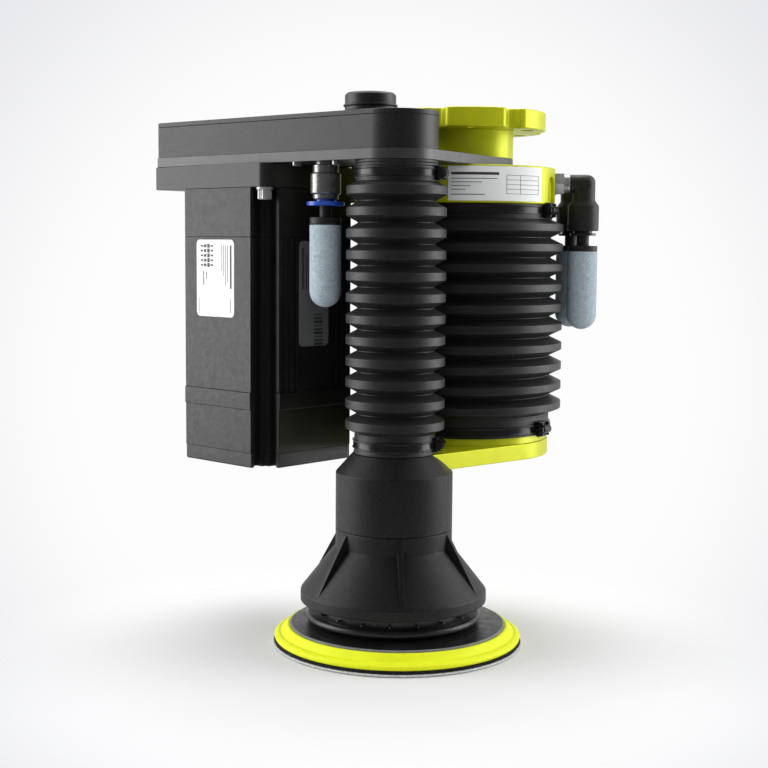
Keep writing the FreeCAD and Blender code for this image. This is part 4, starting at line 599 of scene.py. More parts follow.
@dataclass
class BellowsSleeve:
    """Moulded bellows with a cuff at each end."""

    name: str
    centre: Place
    top: float
    bottom: float
    top_cuff: float
    bottom_cuff: float
    lead: float
    rings: int
    tip: float
    valley: float
    rim: float
    seat: float
    steps: int = 160
    wall: float = 2.0
    crown: float = 0.9
    bead: float = 0.35

    def run_section(self, upper: float, lower: float) -> list[Place]:
        """Outline the run of rings, closed by a plain inner wall.

        Args:
            upper: Level of its upper end.
            lower: Level of its lower end.

        Returns:
            The closed section.
        """
        first = upper - self.lead
        pitch = (first - lower - self.lead) / (self.rings - 1)
        inner, skin = self.seat - 1.4, self.seat + self.wall
        section = [(inner, upper), (skin - 0.1, upper), (skin - 0.2, upper - 1.0)]
        for ring in range(self.rings):
            level = first - ring * pitch
            root = level - pitch / 2
            section += [(self.tip, level + self.rim / 2), (self.tip, level - self.rim / 2)]
            if ring < self.rings - 1:
                section += [(self.valley + 0.25, root + 0.35), (self.valley, root), (self.valley + 0.25, root - 0.35)]
        return section + [(skin - 0.2, lower + 1.0), (skin - 0.1, lower), (inner, lower)]

    def build(self) -> None:
        """Build the run of rings and both cuffs."""
        upper, lower = self.top - self.top_cuff, self.bottom + self.bottom_cuff
        run = soften(spun(self.run_section(upper, lower), self.centre, self.steps), self.crown, 3, 20.0)
        sleeve = piece(run, f"{self.name}_rings", Body.HEAD, BELLOWS, self.name, sharp=40)
        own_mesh(sleeve)
        inner, outer = self.seat + 0.05, self.seat + self.wall
        bead = outer + self.bead
        high, low = self.top, self.bottom
        beaded = [(inner, high - 0.1), (bead, high - 0.1), (bead, high - 1.5), (outer - 0.1, high - 1.8),
                  (bead, high - 2.1), (bead, high - 3.3), (outer, high - 3.7), (outer, upper), (inner, upper)]
        plain = [(inner, lower), (outer, lower), (outer, low + 2.0), (bead, low + 1.7), (bead, low + 0.1),
                 (inner, low + 0.1)]
        for section, end, body in ((beaded, "upper", Body.HEAD), (plain, "lower", Body.CARRIAGE)):
            cuff = soften(spun(section, self.centre, self.steps), 0.35)
            piece(cuff, f"{self.name}_{end}_cuff", body, BELLOWS, self.name)


@dataclass
class BandClamp:
    """Worm-drive band clamp with rolled edges."""

    name: str
    body: Body
    centre: Place
    seat: float
    middle: float
    buckle_at: float
    housing: float = 8.6
    rise: float = 0.0
    width: float = 5.2
    inner_gap: float = 2.1
    thickness: float = 0.6
    barrel: float = 2.9
    tail_sweep: float = 28.0
    notches: int = 7

    def build(self) -> None:
        """Build the band, the buckle housing, its screw and the band's notched tail."""
        inner = self.seat + self.inner_gap
        low, high = self.middle - self.width / 2, self.middle + self.width / 2
        skin, roll = inner + self.thickness, inner + 1.1
        edge = [(inner, low), (roll - 0.2, low), (roll, low + 0.35), (roll - 0.2, low + 0.8), (skin, low + 0.95)]
        section = edge + [(radius, high - (level - low)) for radius, level in reversed(edge)]
        out = skin + self.barrel + self.rise
        saddle = block((2.4 + self.rise, 9.6, self.housing), (skin + 0.9 + self.rise / 2, 0, self.middle))
        lips = [block((3.6, 1.0, self.housing - 1.2), (skin + 2.0 + self.rise, side, self.middle))
                for side in (-3.6, 4.4)]
        barrel, head, collar = (placed(rod(*size), lying((out, side, self.middle), "X")) for size, side in (
            ((self.barrel, 7.6), 0.6), ((2.4, 2.2, 6), -5.0), ((2.75, 0.8, 32), -4.0)))
        buckle = [soften(saddle, 0.7, 3), soften(barrel, 0.5), *(soften(lip, 0.35) for lip in lips),
                  soften(head, 0.25), soften(collar, 0.15, 1)]
        parts = [soften(spun(section, self.centre, 128), 0.12, 1)]
        parts += [placed(part, spoke(self.buckle_at, self.centre)) for part in buckle]
        tail = [(skin, self.middle - 1.9), (skin + 0.45, self.middle - 1.9), (skin + 0.45, self.middle + 1.9),
                (skin, self.middle + 1.9)]
        parts.append(soften(spun(tail, self.centre, 24, self.buckle_at + 5, self.tail_sweep), 0.12, 1))
        for notch in range(self.notches):
            slot = block((0.25, 0.55, 2.6), (skin + 0.52, 0, self.middle))
            parts.append(placed(slot, spoke(self.buckle_at + 9 + notch * 3.4, self.centre)))
        piece(joined(parts), self.name, self.body, CLAMP, self.name)


@dataclass
class Shroud:
    """Sintered shroud: coned upper part, ribbed skirt and the rubber brake ring under it."""

    cone: float = 11.4
    radius: float = 34.9
    top_radius: float = 24.8
    wall: float = 3.4
    seam: float = -251.9
    straight: float = 11.0
    rim_radius: float = 55.7
    rim_top: float = -289.3
    rim_bottom: float = -295.7
    shelf: float = -281.3
    shelf_outer: float = 44.8
    shelf_inner: float = 40.0
    shelf_thickness: float = 3.0
    rib_foot: float = 1.4
    rib_angle: float = -42.0
    rib_thickness: float = 3.0
    ribs: int = 6
    dish_bottom: float = -306.6
    dish_radius: float = 52.4
    dish_roll: float = 2.1
    collar: float = 45.0
    studs: int = 18
    stud_level: float = -300.8
    steps: int = 192

    def build_upper(self) -> None:
        """Build the coned upper part."""
        inner, roof = self.radius - self.wall, ARM_TOP - 12
        section = [(0, ARM_TOP - 0.04), (self.top_radius, ARM_TOP - 0.04), (self.radius, ARM_TOP - self.cone),
                   (self.radius, self.seam + 0.02), (inner, self.seam + 0.02), (inner, roof), (0, roof)]
        mesh = soften(spun(section, SPINDLE_AXIS, self.steps), 0.45, 3)
        piece(mesh, "shroud_cone", Body.CARRIAGE, SHROUD, "upper_shroud")

    def rib(self, cone_top: float) -> Mesh:
        """Build one rib along +X.

        Args:
            cone_top: Level at which the skirt starts to widen.

        Returns:
            The rib's mesh.
        """
        slope = (self.rim_radius - self.radius) / (cone_top - self.rim_top)
        foot, foot_level = self.rim_radius - self.rib_foot, self.rim_top + self.rib_foot / slope
        corners = [(self.radius - 0.4, self.seam - 1.4), (self.radius + 0.2, self.seam - 1.4),
                   (foot + 0.1, foot_level), (foot - 1.2, foot_level - 0.4), (self.radius - 0.4, cone_top - 1.2)]
        fin = bmesh.new()
        face = fin.faces.new([fin.verts.new((x, -self.rib_thickness / 2, z)) for x, z in corners])
        grown = bmesh.ops.extrude_face_region(fin, geom=[face])
        moved = [part for part in grown["geom"] if isinstance(part, bmesh.types.BMVert)]
        bmesh.ops.translate(fin, vec=(0, self.rib_thickness, 0), verts=moved)
        bmesh.ops.recalc_face_normals(fin, faces=fin.faces)
        return soften(fin, 0.4)

    def build_skirt(self) -> None:
        """Build the skirt with its ribs."""
        inner, bore = self.radius - self.wall, self.shelf_inner
        cone_top, shelf_top = self.seam - self.straight, self.shelf + self.shelf_thickness
        section = [(inner, self.seam - 0.02), (self.radius, self.seam - 0.02), (self.radius, cone_top),
                   (self.rim_radius, self.rim_top), (self.rim_radius, self.rim_bottom),
                   (self.rim_radius - self.wall, self.rim_bottom),
                   (self.rim_radius - self.wall, self.rim_top - 1.5), (self.shelf_outer, self.shelf),
                   (bore, self.shelf), (bore, shelf_top), (self.shelf_outer - 0.5, shelf_top), (inner, cone_top)]
        parts = [soften(spun(section, SPINDLE_AXIS, self.steps), 0.75, 3)]
        parts += [placed(self.rib(cone_top), spoke(self.rib_angle + rib * 360 / self.ribs, SPINDLE_AXIS))
                  for rib in range(self.ribs)]
        piece(joined(parts), "shroud_skirt_ribbed", Body.CARRIAGE, SHROUD, "shroud_skirt")

    def build_dish(self) -> None:
        """Build the rubber dish with its rolled rim and studs."""
        bottom, rim = self.dish_bottom, self.dish_radius
        low, top = bottom + 0.4, bottom + 2 * self.dish_roll
        web, rim_in = low + 2.2, rim - 2 * self.dish_roll
        section = [(self.collar - 2.6, self.shelf), (self.collar, self.shelf), (self.collar, web), (rim_in, web),
                   (rim_in + 0.5, top - 0.6), (rim_in + 1.6, top), (rim - 1.2, top), (rim, top - 1.3),
                   (rim, bottom + 1.2), (rim - 1.3, bottom), (rim_in + 1.2, bottom), (rim_in, low),
                   (self.collar - 2.6, low)]
        mesh = soften(spun(section, SPINDLE_AXIS, self.steps), 0.5, 2, 20.0)
        piece(mesh, "brake_dish", Body.CARRIAGE, BRAKE, "brake_ring", sharp=45)
        seat = lying((self.collar + 1.5, 0, self.stud_level), "Y")
        studs = [placed(soften(rod(0.65, 3.4, 16), 0.2), spoke((stud + 0.5) * 360 / self.studs, SPINDLE_AXIS) @ seat)
                 for stud in range(self.studs)]
        piece(joined(studs), "brake_studs", Body.CARRIAGE, STUD, "brake_ring")

    def build(self) -> None:
        """Build the whole shroud."""
        self.build_upper()
        self.build_skirt()
        self.build_dish()


@dataclass
class SandingPad:
    """Backing disc with a pale ring at its edge as a painted highlight, lime foam, hook layer and sanding disc."""

    rim_radius: float = 64.4
    rim_top: float = -309.4
    rim_thickness: float = 1.4
    # edge: width of the pale ring painted as the backing disc's edge highlight
    edge: float = 1.15
    flat_radius: float = 54.0
    flat_top: float = -308.6
    hub_top: float = -303.5
    hub_radius: float = 17.0
    hub_foot: float = 25.0
    foam_radius: float = 73.8
    foam_inner: float = 65.0
    shelf_radius: float = 69.6
    shelf_drop: float = 3.4
    foam_height: float = 7.4
    hook: float = 1.9
    disc: float = 1.3
    disc_radius: float = 74.8
    steps: int = 224
    tufts: int = 720

    def build(self) -> None:
        """Build the layers of the pad from the top down."""
        rim, shelf_r, foam_r, disc_r = self.rim_radius, self.shelf_radius, self.foam_radius, self.disc_radius
        foam_top = self.rim_top - self.rim_thickness
        foam_low = foam_top - self.foam_height
        hook_low = foam_low - self.hook
        disc_low = hook_low - self.disc
        shelf = foam_top - self.shelf_drop
        backing = [(0, foam_top), (rim - 1.1, foam_top), (rim - 1.1, self.rim_top + 0.02),
                   (self.flat_radius, self.flat_top), (self.hub_foot, self.flat_top),
                   (self.hub_radius, self.hub_top), (0, self.hub_top)]
        # the edge ring takes the pale painted-highlight finish
        edge = [(rim - self.edge, foam_top), (rim, foam_top), (rim, self.rim_top - 0.2),
                (rim - self.edge, self.rim_top + 0.1)]
        foam = [(0, foam_top - 0.05), (rim - 0.2, foam_top - 0.05), (self.foam_inner + 0.4, foam_top + 0.5),
                (self.foam_inner + 1.3, foam_top + 0.2), (shelf_r, shelf), (shelf_r + 0.7, shelf - 0.35),
                (shelf_r + 1.4, shelf - 0.2), (foam_r - 1.6, shelf - 0.7), (foam_r - 0.3, shelf - 1.5),
                (foam_r, shelf - 2.6), (foam_r - 0.5, foam_low), (0, foam_low)]
        disc = [(0, hook_low - 0.02), (disc_r - 0.2, hook_low - 0.02), (disc_r, hook_low - 0.5),
                (disc_r, disc_low + 0.4), (disc_r - 0.4, disc_low), (0, disc_low)]
        self.layer(backing, (0.4, 2, 12.0), "pad_backing", BACKING, "backing_disc")
        self.layer(edge, (0.25,), "pad_backing_rim_highlight", BACKING_RIM_HIGHLIGHT, "backing_disc")
        self.layer(foam, (0.45, 3, 12.0), "pad_foam_lime", FOAM, "pad_foam", 50)
        piece(self.fringe(foam_low, hook_low), "hook_fringe", Body.PAD, HOOK, "hook_layer", sharp=80)
        self.layer(disc, (0.2,), "sanding_disc_sheet", DISC, "sanding_disc")

    def layer(self, section: Section, edge: tuple, name: str, finish: Finish, node: str, sharp: float = 32.0) -> None:
        """Build one turned layer: its section, rounding, name, finish, the solid it stands for, and creases."""
        piece(soften(spun(section, PAD_AXIS, self.steps), *edge), name, Body.PAD, finish, node, sharp=sharp)

    def fringe(self, high: float, low: float) -> Mesh:
        """Build the hook layer with an uneven, fibrous edge.

        Args:
            high: Upper level.
            low: Lower level.

        Returns:
            The layer's mesh.
        """
        radius = self.foam_radius - 0.7
        section = [(0, high), (radius, high), (radius + 0.5, high - 0.35), (radius + 0.3, high - 0.8),
                   (radius + 0.7, high - 1.3), (radius + 0.5, low + 0.1), (0, low)]
        mesh = spun(section, PAD_AXIS, self.tufts)
        draw = random.Random(7)
        for vert in mesh.verts:
            out = Vector((vert.co.x - PAD_AXIS[0], vert.co.y - PAD_AXIS[1], 0))
            if out.length > radius + 0.1:
                vert.co += out.normalized() * draw.uniform(-0.45, 0.5)
                vert.co.z += draw.uniform(-0.25, 0.12)
        return mesh


@dataclass
class BeltHousing:
    """Cover wall, lid, port cap and belt plate."""

    length: float = 178.0
    nose: float = 24.2
    corner: float = 4.0
    cover_top: float = -9.7
    lid_top: float = -6.7
    cap_at: float = 21.6
    cap_profile: Section = ((0, 0), (15.9, 0), (15.9, 1.2), (15.3, 1.8), (15.3, 3.8), (16.1, 4.0), (16.1, 5.1),
                            (15.2, 5.3), (15.2, 10.6), (13.8, 12.0), (0, 12.0))

    def build(self) -> None:
        """Build the cover, lid, plate and cap."""
        piece(refined("belt_cover", 0.12, 1), "cover_wall", Body.HEAD, SINTERED, "belt_cover")
        half = MOTOR_SIDE / 2 - self.corner
        corners = [(*along(self.length - self.corner, MOTOR_ACROSS + side), self.corner) for side in (-half, half)]
        lid = hulled([(*SPINDLE_AXIS, self.nose), *corners], self.cover_top + 0.02, self.lid_top)
        piece(soften(lid, 0.5, 3), "cover_top_lid", Body.HEAD, SINTERED, "cover_lid")
        piece(refined("belt_plate", 0.3), "belt_plate_black", Body.HEAD, PLATE, "belt_plate")
        profile = [(radius, self.lid_top + rise) for radius, rise in self.cap_profile]
        cap = spun(profile, along(self.cap_at, 0))
        piece(soften(cap, 0.35, 3, 18.0), "round_port_cap", Body.HEAD, SINTERED, "port_cap")


@dataclass
class MotorUnit:
    """Motor with its adapter block, seams, labels and corner screws."""

    top: float = -49.6
    washer: float = 1.5
    head: float = 6.0
    head_radius: float = 4.25
    knurl: float = 0.25
    washer_bore: float = 2.8
    washer_radius: float = 5.2
    screw_inset: float = 5.6
    label_radius: float = 3.0
    label_proud: float = 0.06
    front_size: Triple = (35.8, 0.16, 48.2)
    front_at: Place = (-98.5, -105.6)
    side_size: Triple = (0.16, 25.7, 65.7)
    side_at: Place = (-86.0, -114.8)
    rules: tuple = ((-83.6, 1.5, -112.0, 27.0), (-86.6, 0.5, -108.0, 23.0), (-88.4, 0.5, -110.0, 25.0),
                    (-90.2, 0.5, -104.0, 19.0), (-92.0, 0.5, -101.0, 16.0), (-114.2, 0.5, -127.0, 9.0),
                    (-83.8, 0.5, -127.0, 9.0), (-106.6, 0.8, -106.0, 4.5), (-109.6, 0.8, -110.0, 9.0))
    side_rules: tuple = ((-95.5, 1.4, -112.0, 26.0), (-92.4, 0.7, -112.0, 22.0), (-90.2, 0.7, -118.0, 28.0))

    def build(self) -> None:
        """Dress the motor housings, and add the screws and the labels."""
        piece(refined("motor_adapter", 0.5), "motor_adapter_block", Body.HEAD, ADAPTER, "motor_adapter")
        for part in ("front_shield", "stator_housing", "rear_housing", "end_cap"):
            piece(refined(f"motor_{part}", 0.35), f"motor_{part}_painted", Body.HEAD, MOTOR, f"motor_{part}")
        reach = MOTOR_SIDE / 2 - self.screw_inset
        places = [(MOTOR_AXIS[0] + reach, MOTOR_AXIS[1] + side) for side in (-reach, reach)]
        screws = [part for place in places for part in self.screw(place)]
        piece(joined(screws), "motor_corner_screws", Body.HEAD, NICKEL, "motor_screws")
        self.front_label(MOTOR_AXIS[1] - MOTOR_SIDE / 2)
        self.side_label(MOTOR_AXIS[0] + MOTOR_SIDE / 2)

    def screw(self, at: Place) -> list[Mesh]:
        """Build one corner screw.

        Args:
            at: Its place.

        Returns:
            The washer and the knurled head.
        """
        under = self.top - self.washer
        end = under - self.head
        bore, rim = self.washer_bore, self.washer_radius
        washer = spun([(bore, self.top), (rim, self.top), (rim, under), (bore, under)], at, 40)
        head = spun([(0, under), (self.head_radius, under), (self.head_radius, end + 0.4), (3.8, end), (2.4, end),
                     (2.2, end + 2.3), (0, end + 2.3)], at, 48)
        middle = Vector((*at, 0))
        skin = [edge for edge in head.edges
                if all(abs((vert.co - middle).to_2d().length - self.head_radius) < 1e-3 for vert in edge.verts)
                and abs(edge.verts[0].co.z - edge.verts[1].co.z) > 1]
        for vert in {vert for edge in skin[1::2] for vert in edge.verts}:
            vert.co -= Vector((vert.co.x - at[0], vert.co.y - at[1], 0)).normalized() * self.knurl
        return [soften(washer, 0.15, 1), head]

    def front_label(self, face: float) -> None:
        """Lay the bare label with plain marks on the motor's front.

        Args:
            face: Place of the front along Y.
        """
        plate = block(self.front_size, (self.front_at[0], face - self.label_proud, self.front_at[1]))
        piece(self.rounded(plate, 1), "motor_label", Body.HEAD, LABEL)
        ink = face - 2 * self.label_proud
        marks = [block((width, 0.1, length), (at, ink, low + length / 2)) for at, width, low, length in self.rules]
        marks += [block((2.4, 0.1, 1.1 + 0.7 * ((row * 3 + bar) % 3)), (-111.2 + 3.2 * bar, ink, -97.4 + 3.0 * row))
                  for row in range(5) for bar in range(4)]
        piece(joined(marks), "motor_label_rules", Body.HEAD, INK)

    def side_label(self, face: float) -> None:
        """Lay the grey label with plain marks on the motor's right side.

        Args:
            face: Place of the side along X.
        """
        plate = block(self.side_size, (face + self.label_proud, *self.side_at))
        piece(self.rounded(plate, 0), "motor_side_label", Body.HEAD, LABEL_GREY)
        ink = face + 2 * self.label_proud
        bars = [block((0.1, width, length), (ink, at, low + length / 2)) for at, width, low, length in self.side_rules]
        bars += [block((0.1, 7.6, 0.7 + 0.5 * (bar % 3)), (ink, -82.0, -128.0 - bar * 2.3)) for bar in range(9)]
        piece(joined(bars), "motor_side_label_rules", Body.HEAD, INK)

    def rounded(self, plate: Mesh, axis: int) -> Mesh:
        """Round the four corners of a thin plate that looks along an axis."""
        corners = [edge for edge in plate.edges if abs((edge.verts[0].co - edge.verts[1].co).normalized()[axis]) > 0.9]
        return bevelled(plate, corners, self.label_radius, 6)


@dataclass
class Actuator:
    """Actuator body, robot flange and name plate."""

    radius: float = 55.7
    plate_low: float = -56.9
    plate_high: float = -36.1
    plate_from: float = -63.0
    plate_to: float = 3.5
    rules: tuple = ((-61, -31, -41.4, -39.8), (-61, -32, -43.8, -43.4), (-61, -42, -46.0, -45.6),
                    (-61, -49, -48.2, -47.8), (-61, -52, -50.4, -50.0), (-61, -40, -53.4, -52.9))
    table_from: float = -26.0
    table_rows: tuple = (-41.5, -44.3, -47.1, -49.9, -52.7)
    table_columns: tuple = (-26, -16, -0.3)

    def build(self) -> None:
        """Dress the flange and the body and lay the name plate."""
        piece(refined("robot_flange", 0.5, 3), "flange_lobed", Body.HEAD, LIME, "robot_flange")
        piece(refined("actuator_body", 0.4), "actuator_round_body", Body.HEAD, LIME, "actuator_body")
        plate = self.strip((self.plate_from, self.plate_to, self.plate_low, self.plate_high), 0.06, 0.55, 90)
        piece(soften(plate, 0.12, 1), "name_plate_bare", Body.HEAD, LABEL, "name_plate")
        rows = [(self.table_from, 0, level, level + 0.25) for level in self.table_rows]
        columns = [(angle, angle + 0.3, -52.7, -41.3) for angle in self.table_columns]
        marks = [self.strip(mark, 0.5, 0.62) for mark in (*self.rules, *rows, *columns)]
        piece(joined(marks), "name_plate_rules", Body.HEAD, INK)

    def strip(self, mark: tuple[float, ...], back: float, face: float, steps: Optional[int] = None) -> Mesh:
        """Build a thin curved strip round the body.

        Args:
            mark: Angles where it starts and ends, and its lower and upper levels.
            back: How far its back stands from the body.
            face: How far its face stands from the body.
            steps: Steps over its sweep, or none for one every 1.5 degrees.

        Returns:
            The strip's mesh.
        """
        start, end, low, high = mark
        inner, outer = self.radius + back, self.radius + face
        steps = steps or max(4, int((end - start) / 1.5))
        return spun([(inner, low), (outer, low), (outer, high), (inner, high)], FLANGE_AXIS, steps, start, end - start)


@dataclass
class CarriageArm:
    """Lime arm and the turned base ring of the large bellows."""

    thickness: float = 10.0
    column_radius: float = 53.8
    spindle_radius: float = 22.8
    ring_radius: float = 52.6
    ring_inner: float = 44.0
    ring_height: float = 4.3
    collar_radius: float = 52.2
    collar_height: float = 15.8
    collar_wall: float = 2.0

    def build(self) -> None:
        """Build the arm plate and the base ring."""
        ends = [(*FLANGE_AXIS, self.column_radius), (*SPINDLE_AXIS, self.spindle_radius)]
        plate = hulled(ends, ARM_TOP - self.thickness, ARM_TOP, 160)
        piece(soften(plate, 0.6, 3), "arm_plate", Body.CARRIAGE, LIME, "arm")
        seat, step, top = ARM_TOP + 0.02, ARM_TOP + self.ring_height, ARM_TOP + self.collar_height
        inner = self.collar_radius - self.collar_wall
        ring = [(self.ring_inner, seat), (self.ring_radius, seat), (self.ring_radius, step),
                (self.collar_radius, step), (self.collar_radius, top), (inner, top), (inner, step),
                (self.ring_inner, step)]
        piece(soften(spun(ring, FLANGE_AXIS, 192), 0.25), "base_ring_turned", Body.CARRIAGE, LIME_TURNED, "base_ring")


@dataclass
class Silencer:
    """Plug-in silencer: stem, ribbed collar and a porous body with a rounded end."""

    side: str
    body: Body
    at: Place
    mouth: float
    cap_top: float
    length: float = 50.0
    cap_height: float = 3.6
    stem_radius: float = 4.0
    radius: float = 9.55
    cap_radius: float = 9.4
    plugged: float = 7.5
    steps: int = 72

    def build(self) -> None:
        """Build the stem with its collar, and the porous body."""
        cap, stem, top = self.cap_radius, self.stem_radius, self.mouth + self.plugged
        cap_low = self.cap_top - self.cap_height
        plug = [(0, top), (stem, top), (stem, self.cap_top + 0.3), (stem + 1.2, self.cap_top), (cap, self.cap_top),
                (cap, cap_low + 0.9), (cap - 0.25, cap_low + 0.7), (cap, cap_low + 0.5), (cap, cap_low), (0, cap_low)]
        node = f"{self.side}_silencer"
        piece(soften(spun(plug, self.at, self.steps), 0.25), f"{self.side}_plug", self.body, MOULDED, node)
        low = cap_low - self.length
        straight = low + self.radius
        arc = [polar(self.radius, -angle, (0, straight)) for angle in (0, 12, 24, 36, 48, 60, 72, 82)]
        porous = spun([(0, cap_low - 0.02), (self.radius, cap_low - 0.02), *arc, (0, low)], self.at, self.steps)
        piece(soften(porous, 0.3, 2, 40), f"{self.side}_porous", self.body, SILENCER, node, sharp=60)


@dataclass
class Fittings:
    """Straight fitting under the belt plate and two elbow fittings on the actuator."""

    straight_at: Place = along(43.4, -15.5)
    straight_height: float = 22.2
    nut_drop: float = 6.4
    nut_height: float = 13.0
    neck: float = 6.2
    collar: float = 7.8
    nut: float = 9.1
    bore: float = 6.3
    elbow_at: float = 74.3
    port_level: float = -44.0
    elbow: float = 7.3
    bend: float = 5.0
    arm: float = 5.8
    arm_from: float = 65.3
    face_bars: tuple = ((3.7, 7.4, 0.3), (2.7, 7.9, 0.25))
    shoulder_drop: float = 14.0
    barrel: float = 9.9
    barrel_height: float = 16.0
    elbow_bore: float = 6.4
    bore_depth: float = 8.0
    ring_rise: float = 1.4
    hexagon: float = 7.7
    hexagon_from: float = 54.5
    hexagon_to: float = 61.4
    port_rings: tuple = ((5.8, 61.3, 63.0), (5.3, 62.9, 63.5), (5.8, 63.4, 65.1))

    def build_straight(self) -> None:
        """Build the straight fitting with its silencer."""
        at, top = self.straight_at, PLATE_BOTTOM
        nut_top, mouth = top - self.nut_drop, top - self.straight_height
        nut_low, floor = nut_top - self.nut_height, mouth + self.bore_depth
        body = [(0, top), (self.neck, top), (self.neck, top - 1.6), (self.collar - 0.4, top - 1.6),
                (self.collar, top - 2.0), (self.collar, nut_top), (0, nut_top)]
        piece(soften(spun(body, at, 72), 0.15), "straight_body_turned", Body.HEAD, PLATED, "straight_fitting_body")
        ring = self.collar - 0.1
        nut = [(0, nut_top - 0.02), (self.nut - 0.8, nut_top - 0.02), (self.nut, nut_top - 1.0),
               (self.nut, nut_low + 1.0), (self.nut - 0.8, nut_low), (ring, nut_low), (ring, mouth + 0.5),
               (ring - 0.4, mouth), (self.bore, mouth), (self.bore, floor), (0, floor)]
        piece(soften(spun(nut, at, 96), 0.12), "straight_nut_plated", Body.HEAD, PLATED, "straight_fitting_nut")
        release = refined("straight_release_ring", 0.3)
        piece(release, "straight_ring_blue", Body.STRAIGHT_RELEASE, BLUE, "straight_release_ring")
        Silencer("straight", Body.HEAD, at, mouth, mouth - self.ring_rise - 9.4, 49.2, 4.4, 3.6).build()

    def bar(self, radius: float, start: float, end: float, segments: int = 48) -> Mesh:
        """Make a bar along the port's axis between two distances from the actuator's axis."""
        return placed(rod(radius, end - start, segments), lying(((start + end) / 2, 0, self.port_level), "Y"))

    def build_elbow(self, side: str, angle: float, body: Body, release: Body) -> None:
        """Build one elbow fitting with its port nut and its silencer.

        Args:
            side: Word that names the fitting.
            angle: Angle of its port about the actuator's axis.
            body: Body that the elbow rides on.
            release: Body that its release ring rides on.
        """
        turn, at = spoke(angle), self.elbow_at
        top, shoulder = self.port_level + 5.7, self.port_level - self.shoulder_drop
        mouth = shoulder - self.barrel_height
        floor = mouth + self.bore_depth
        bend = [polar(self.bend, corner, (self.elbow - self.bend, top - self.bend)) for corner in range(90, -1, -15)]
        section = [(0, top), *bend, (self.elbow, shoulder + 3.4), (self.barrel - 0.4, shoulder + 0.4),
                   (self.barrel, shoulder - 0.5), (self.barrel, mouth + 0.5), (self.barrel - 0.5, mouth),
                   (self.elbow_bore, mouth), (self.elbow_bore, floor), (0, floor)]
        facing = lying((at, -4.0, self.port_level - 1.0), "X")
        parts = [soften(spun(section, (at, 0), 96), 0.3), soften(self.bar(self.arm, self.arm_from, at), 0.4)]
        parts += [placed(soften(rod(radius, length), edge), facing) for radius, length, edge in self.face_bars]
        moulded = joined([placed(part, turn) for part in parts])
        piece(moulded, f"{side}_elbow_moulded", body, MOULDED, f"{side}_elbow")
        parts = [soften(self.bar(self.hexagon, self.hexagon_from, self.hexagon_to, 6), 0.5)]
        parts += [soften(self.bar(*ring), 0.12, 1) for ring in self.port_rings]
        steel = joined([placed(part, turn) for part in parts])
        piece(steel, f"{side}_port_steel", Body.HEAD, NICKEL, f"{side}_port_nut")
        piece(refined(f"{side}_release_ring", 0.2), f"{side}_ring_black", release, RELEASE, f"{side}_release_ring")
        Silencer(side, body, polar(at, angle), mouth, mouth - self.ring_rise - 8.1).build()

    def build(self) -> None:
        """Build all three fittings with their silencers."""
        self.build_straight()
        self.build_elbow("front", 41.0, Body.FRONT_FITTING, Body.FRONT_RELEASE)
        self.build_elbow("rear", 62.0, Body.REAR_FITTING, Body.REAR_RELEASE)


# Studio


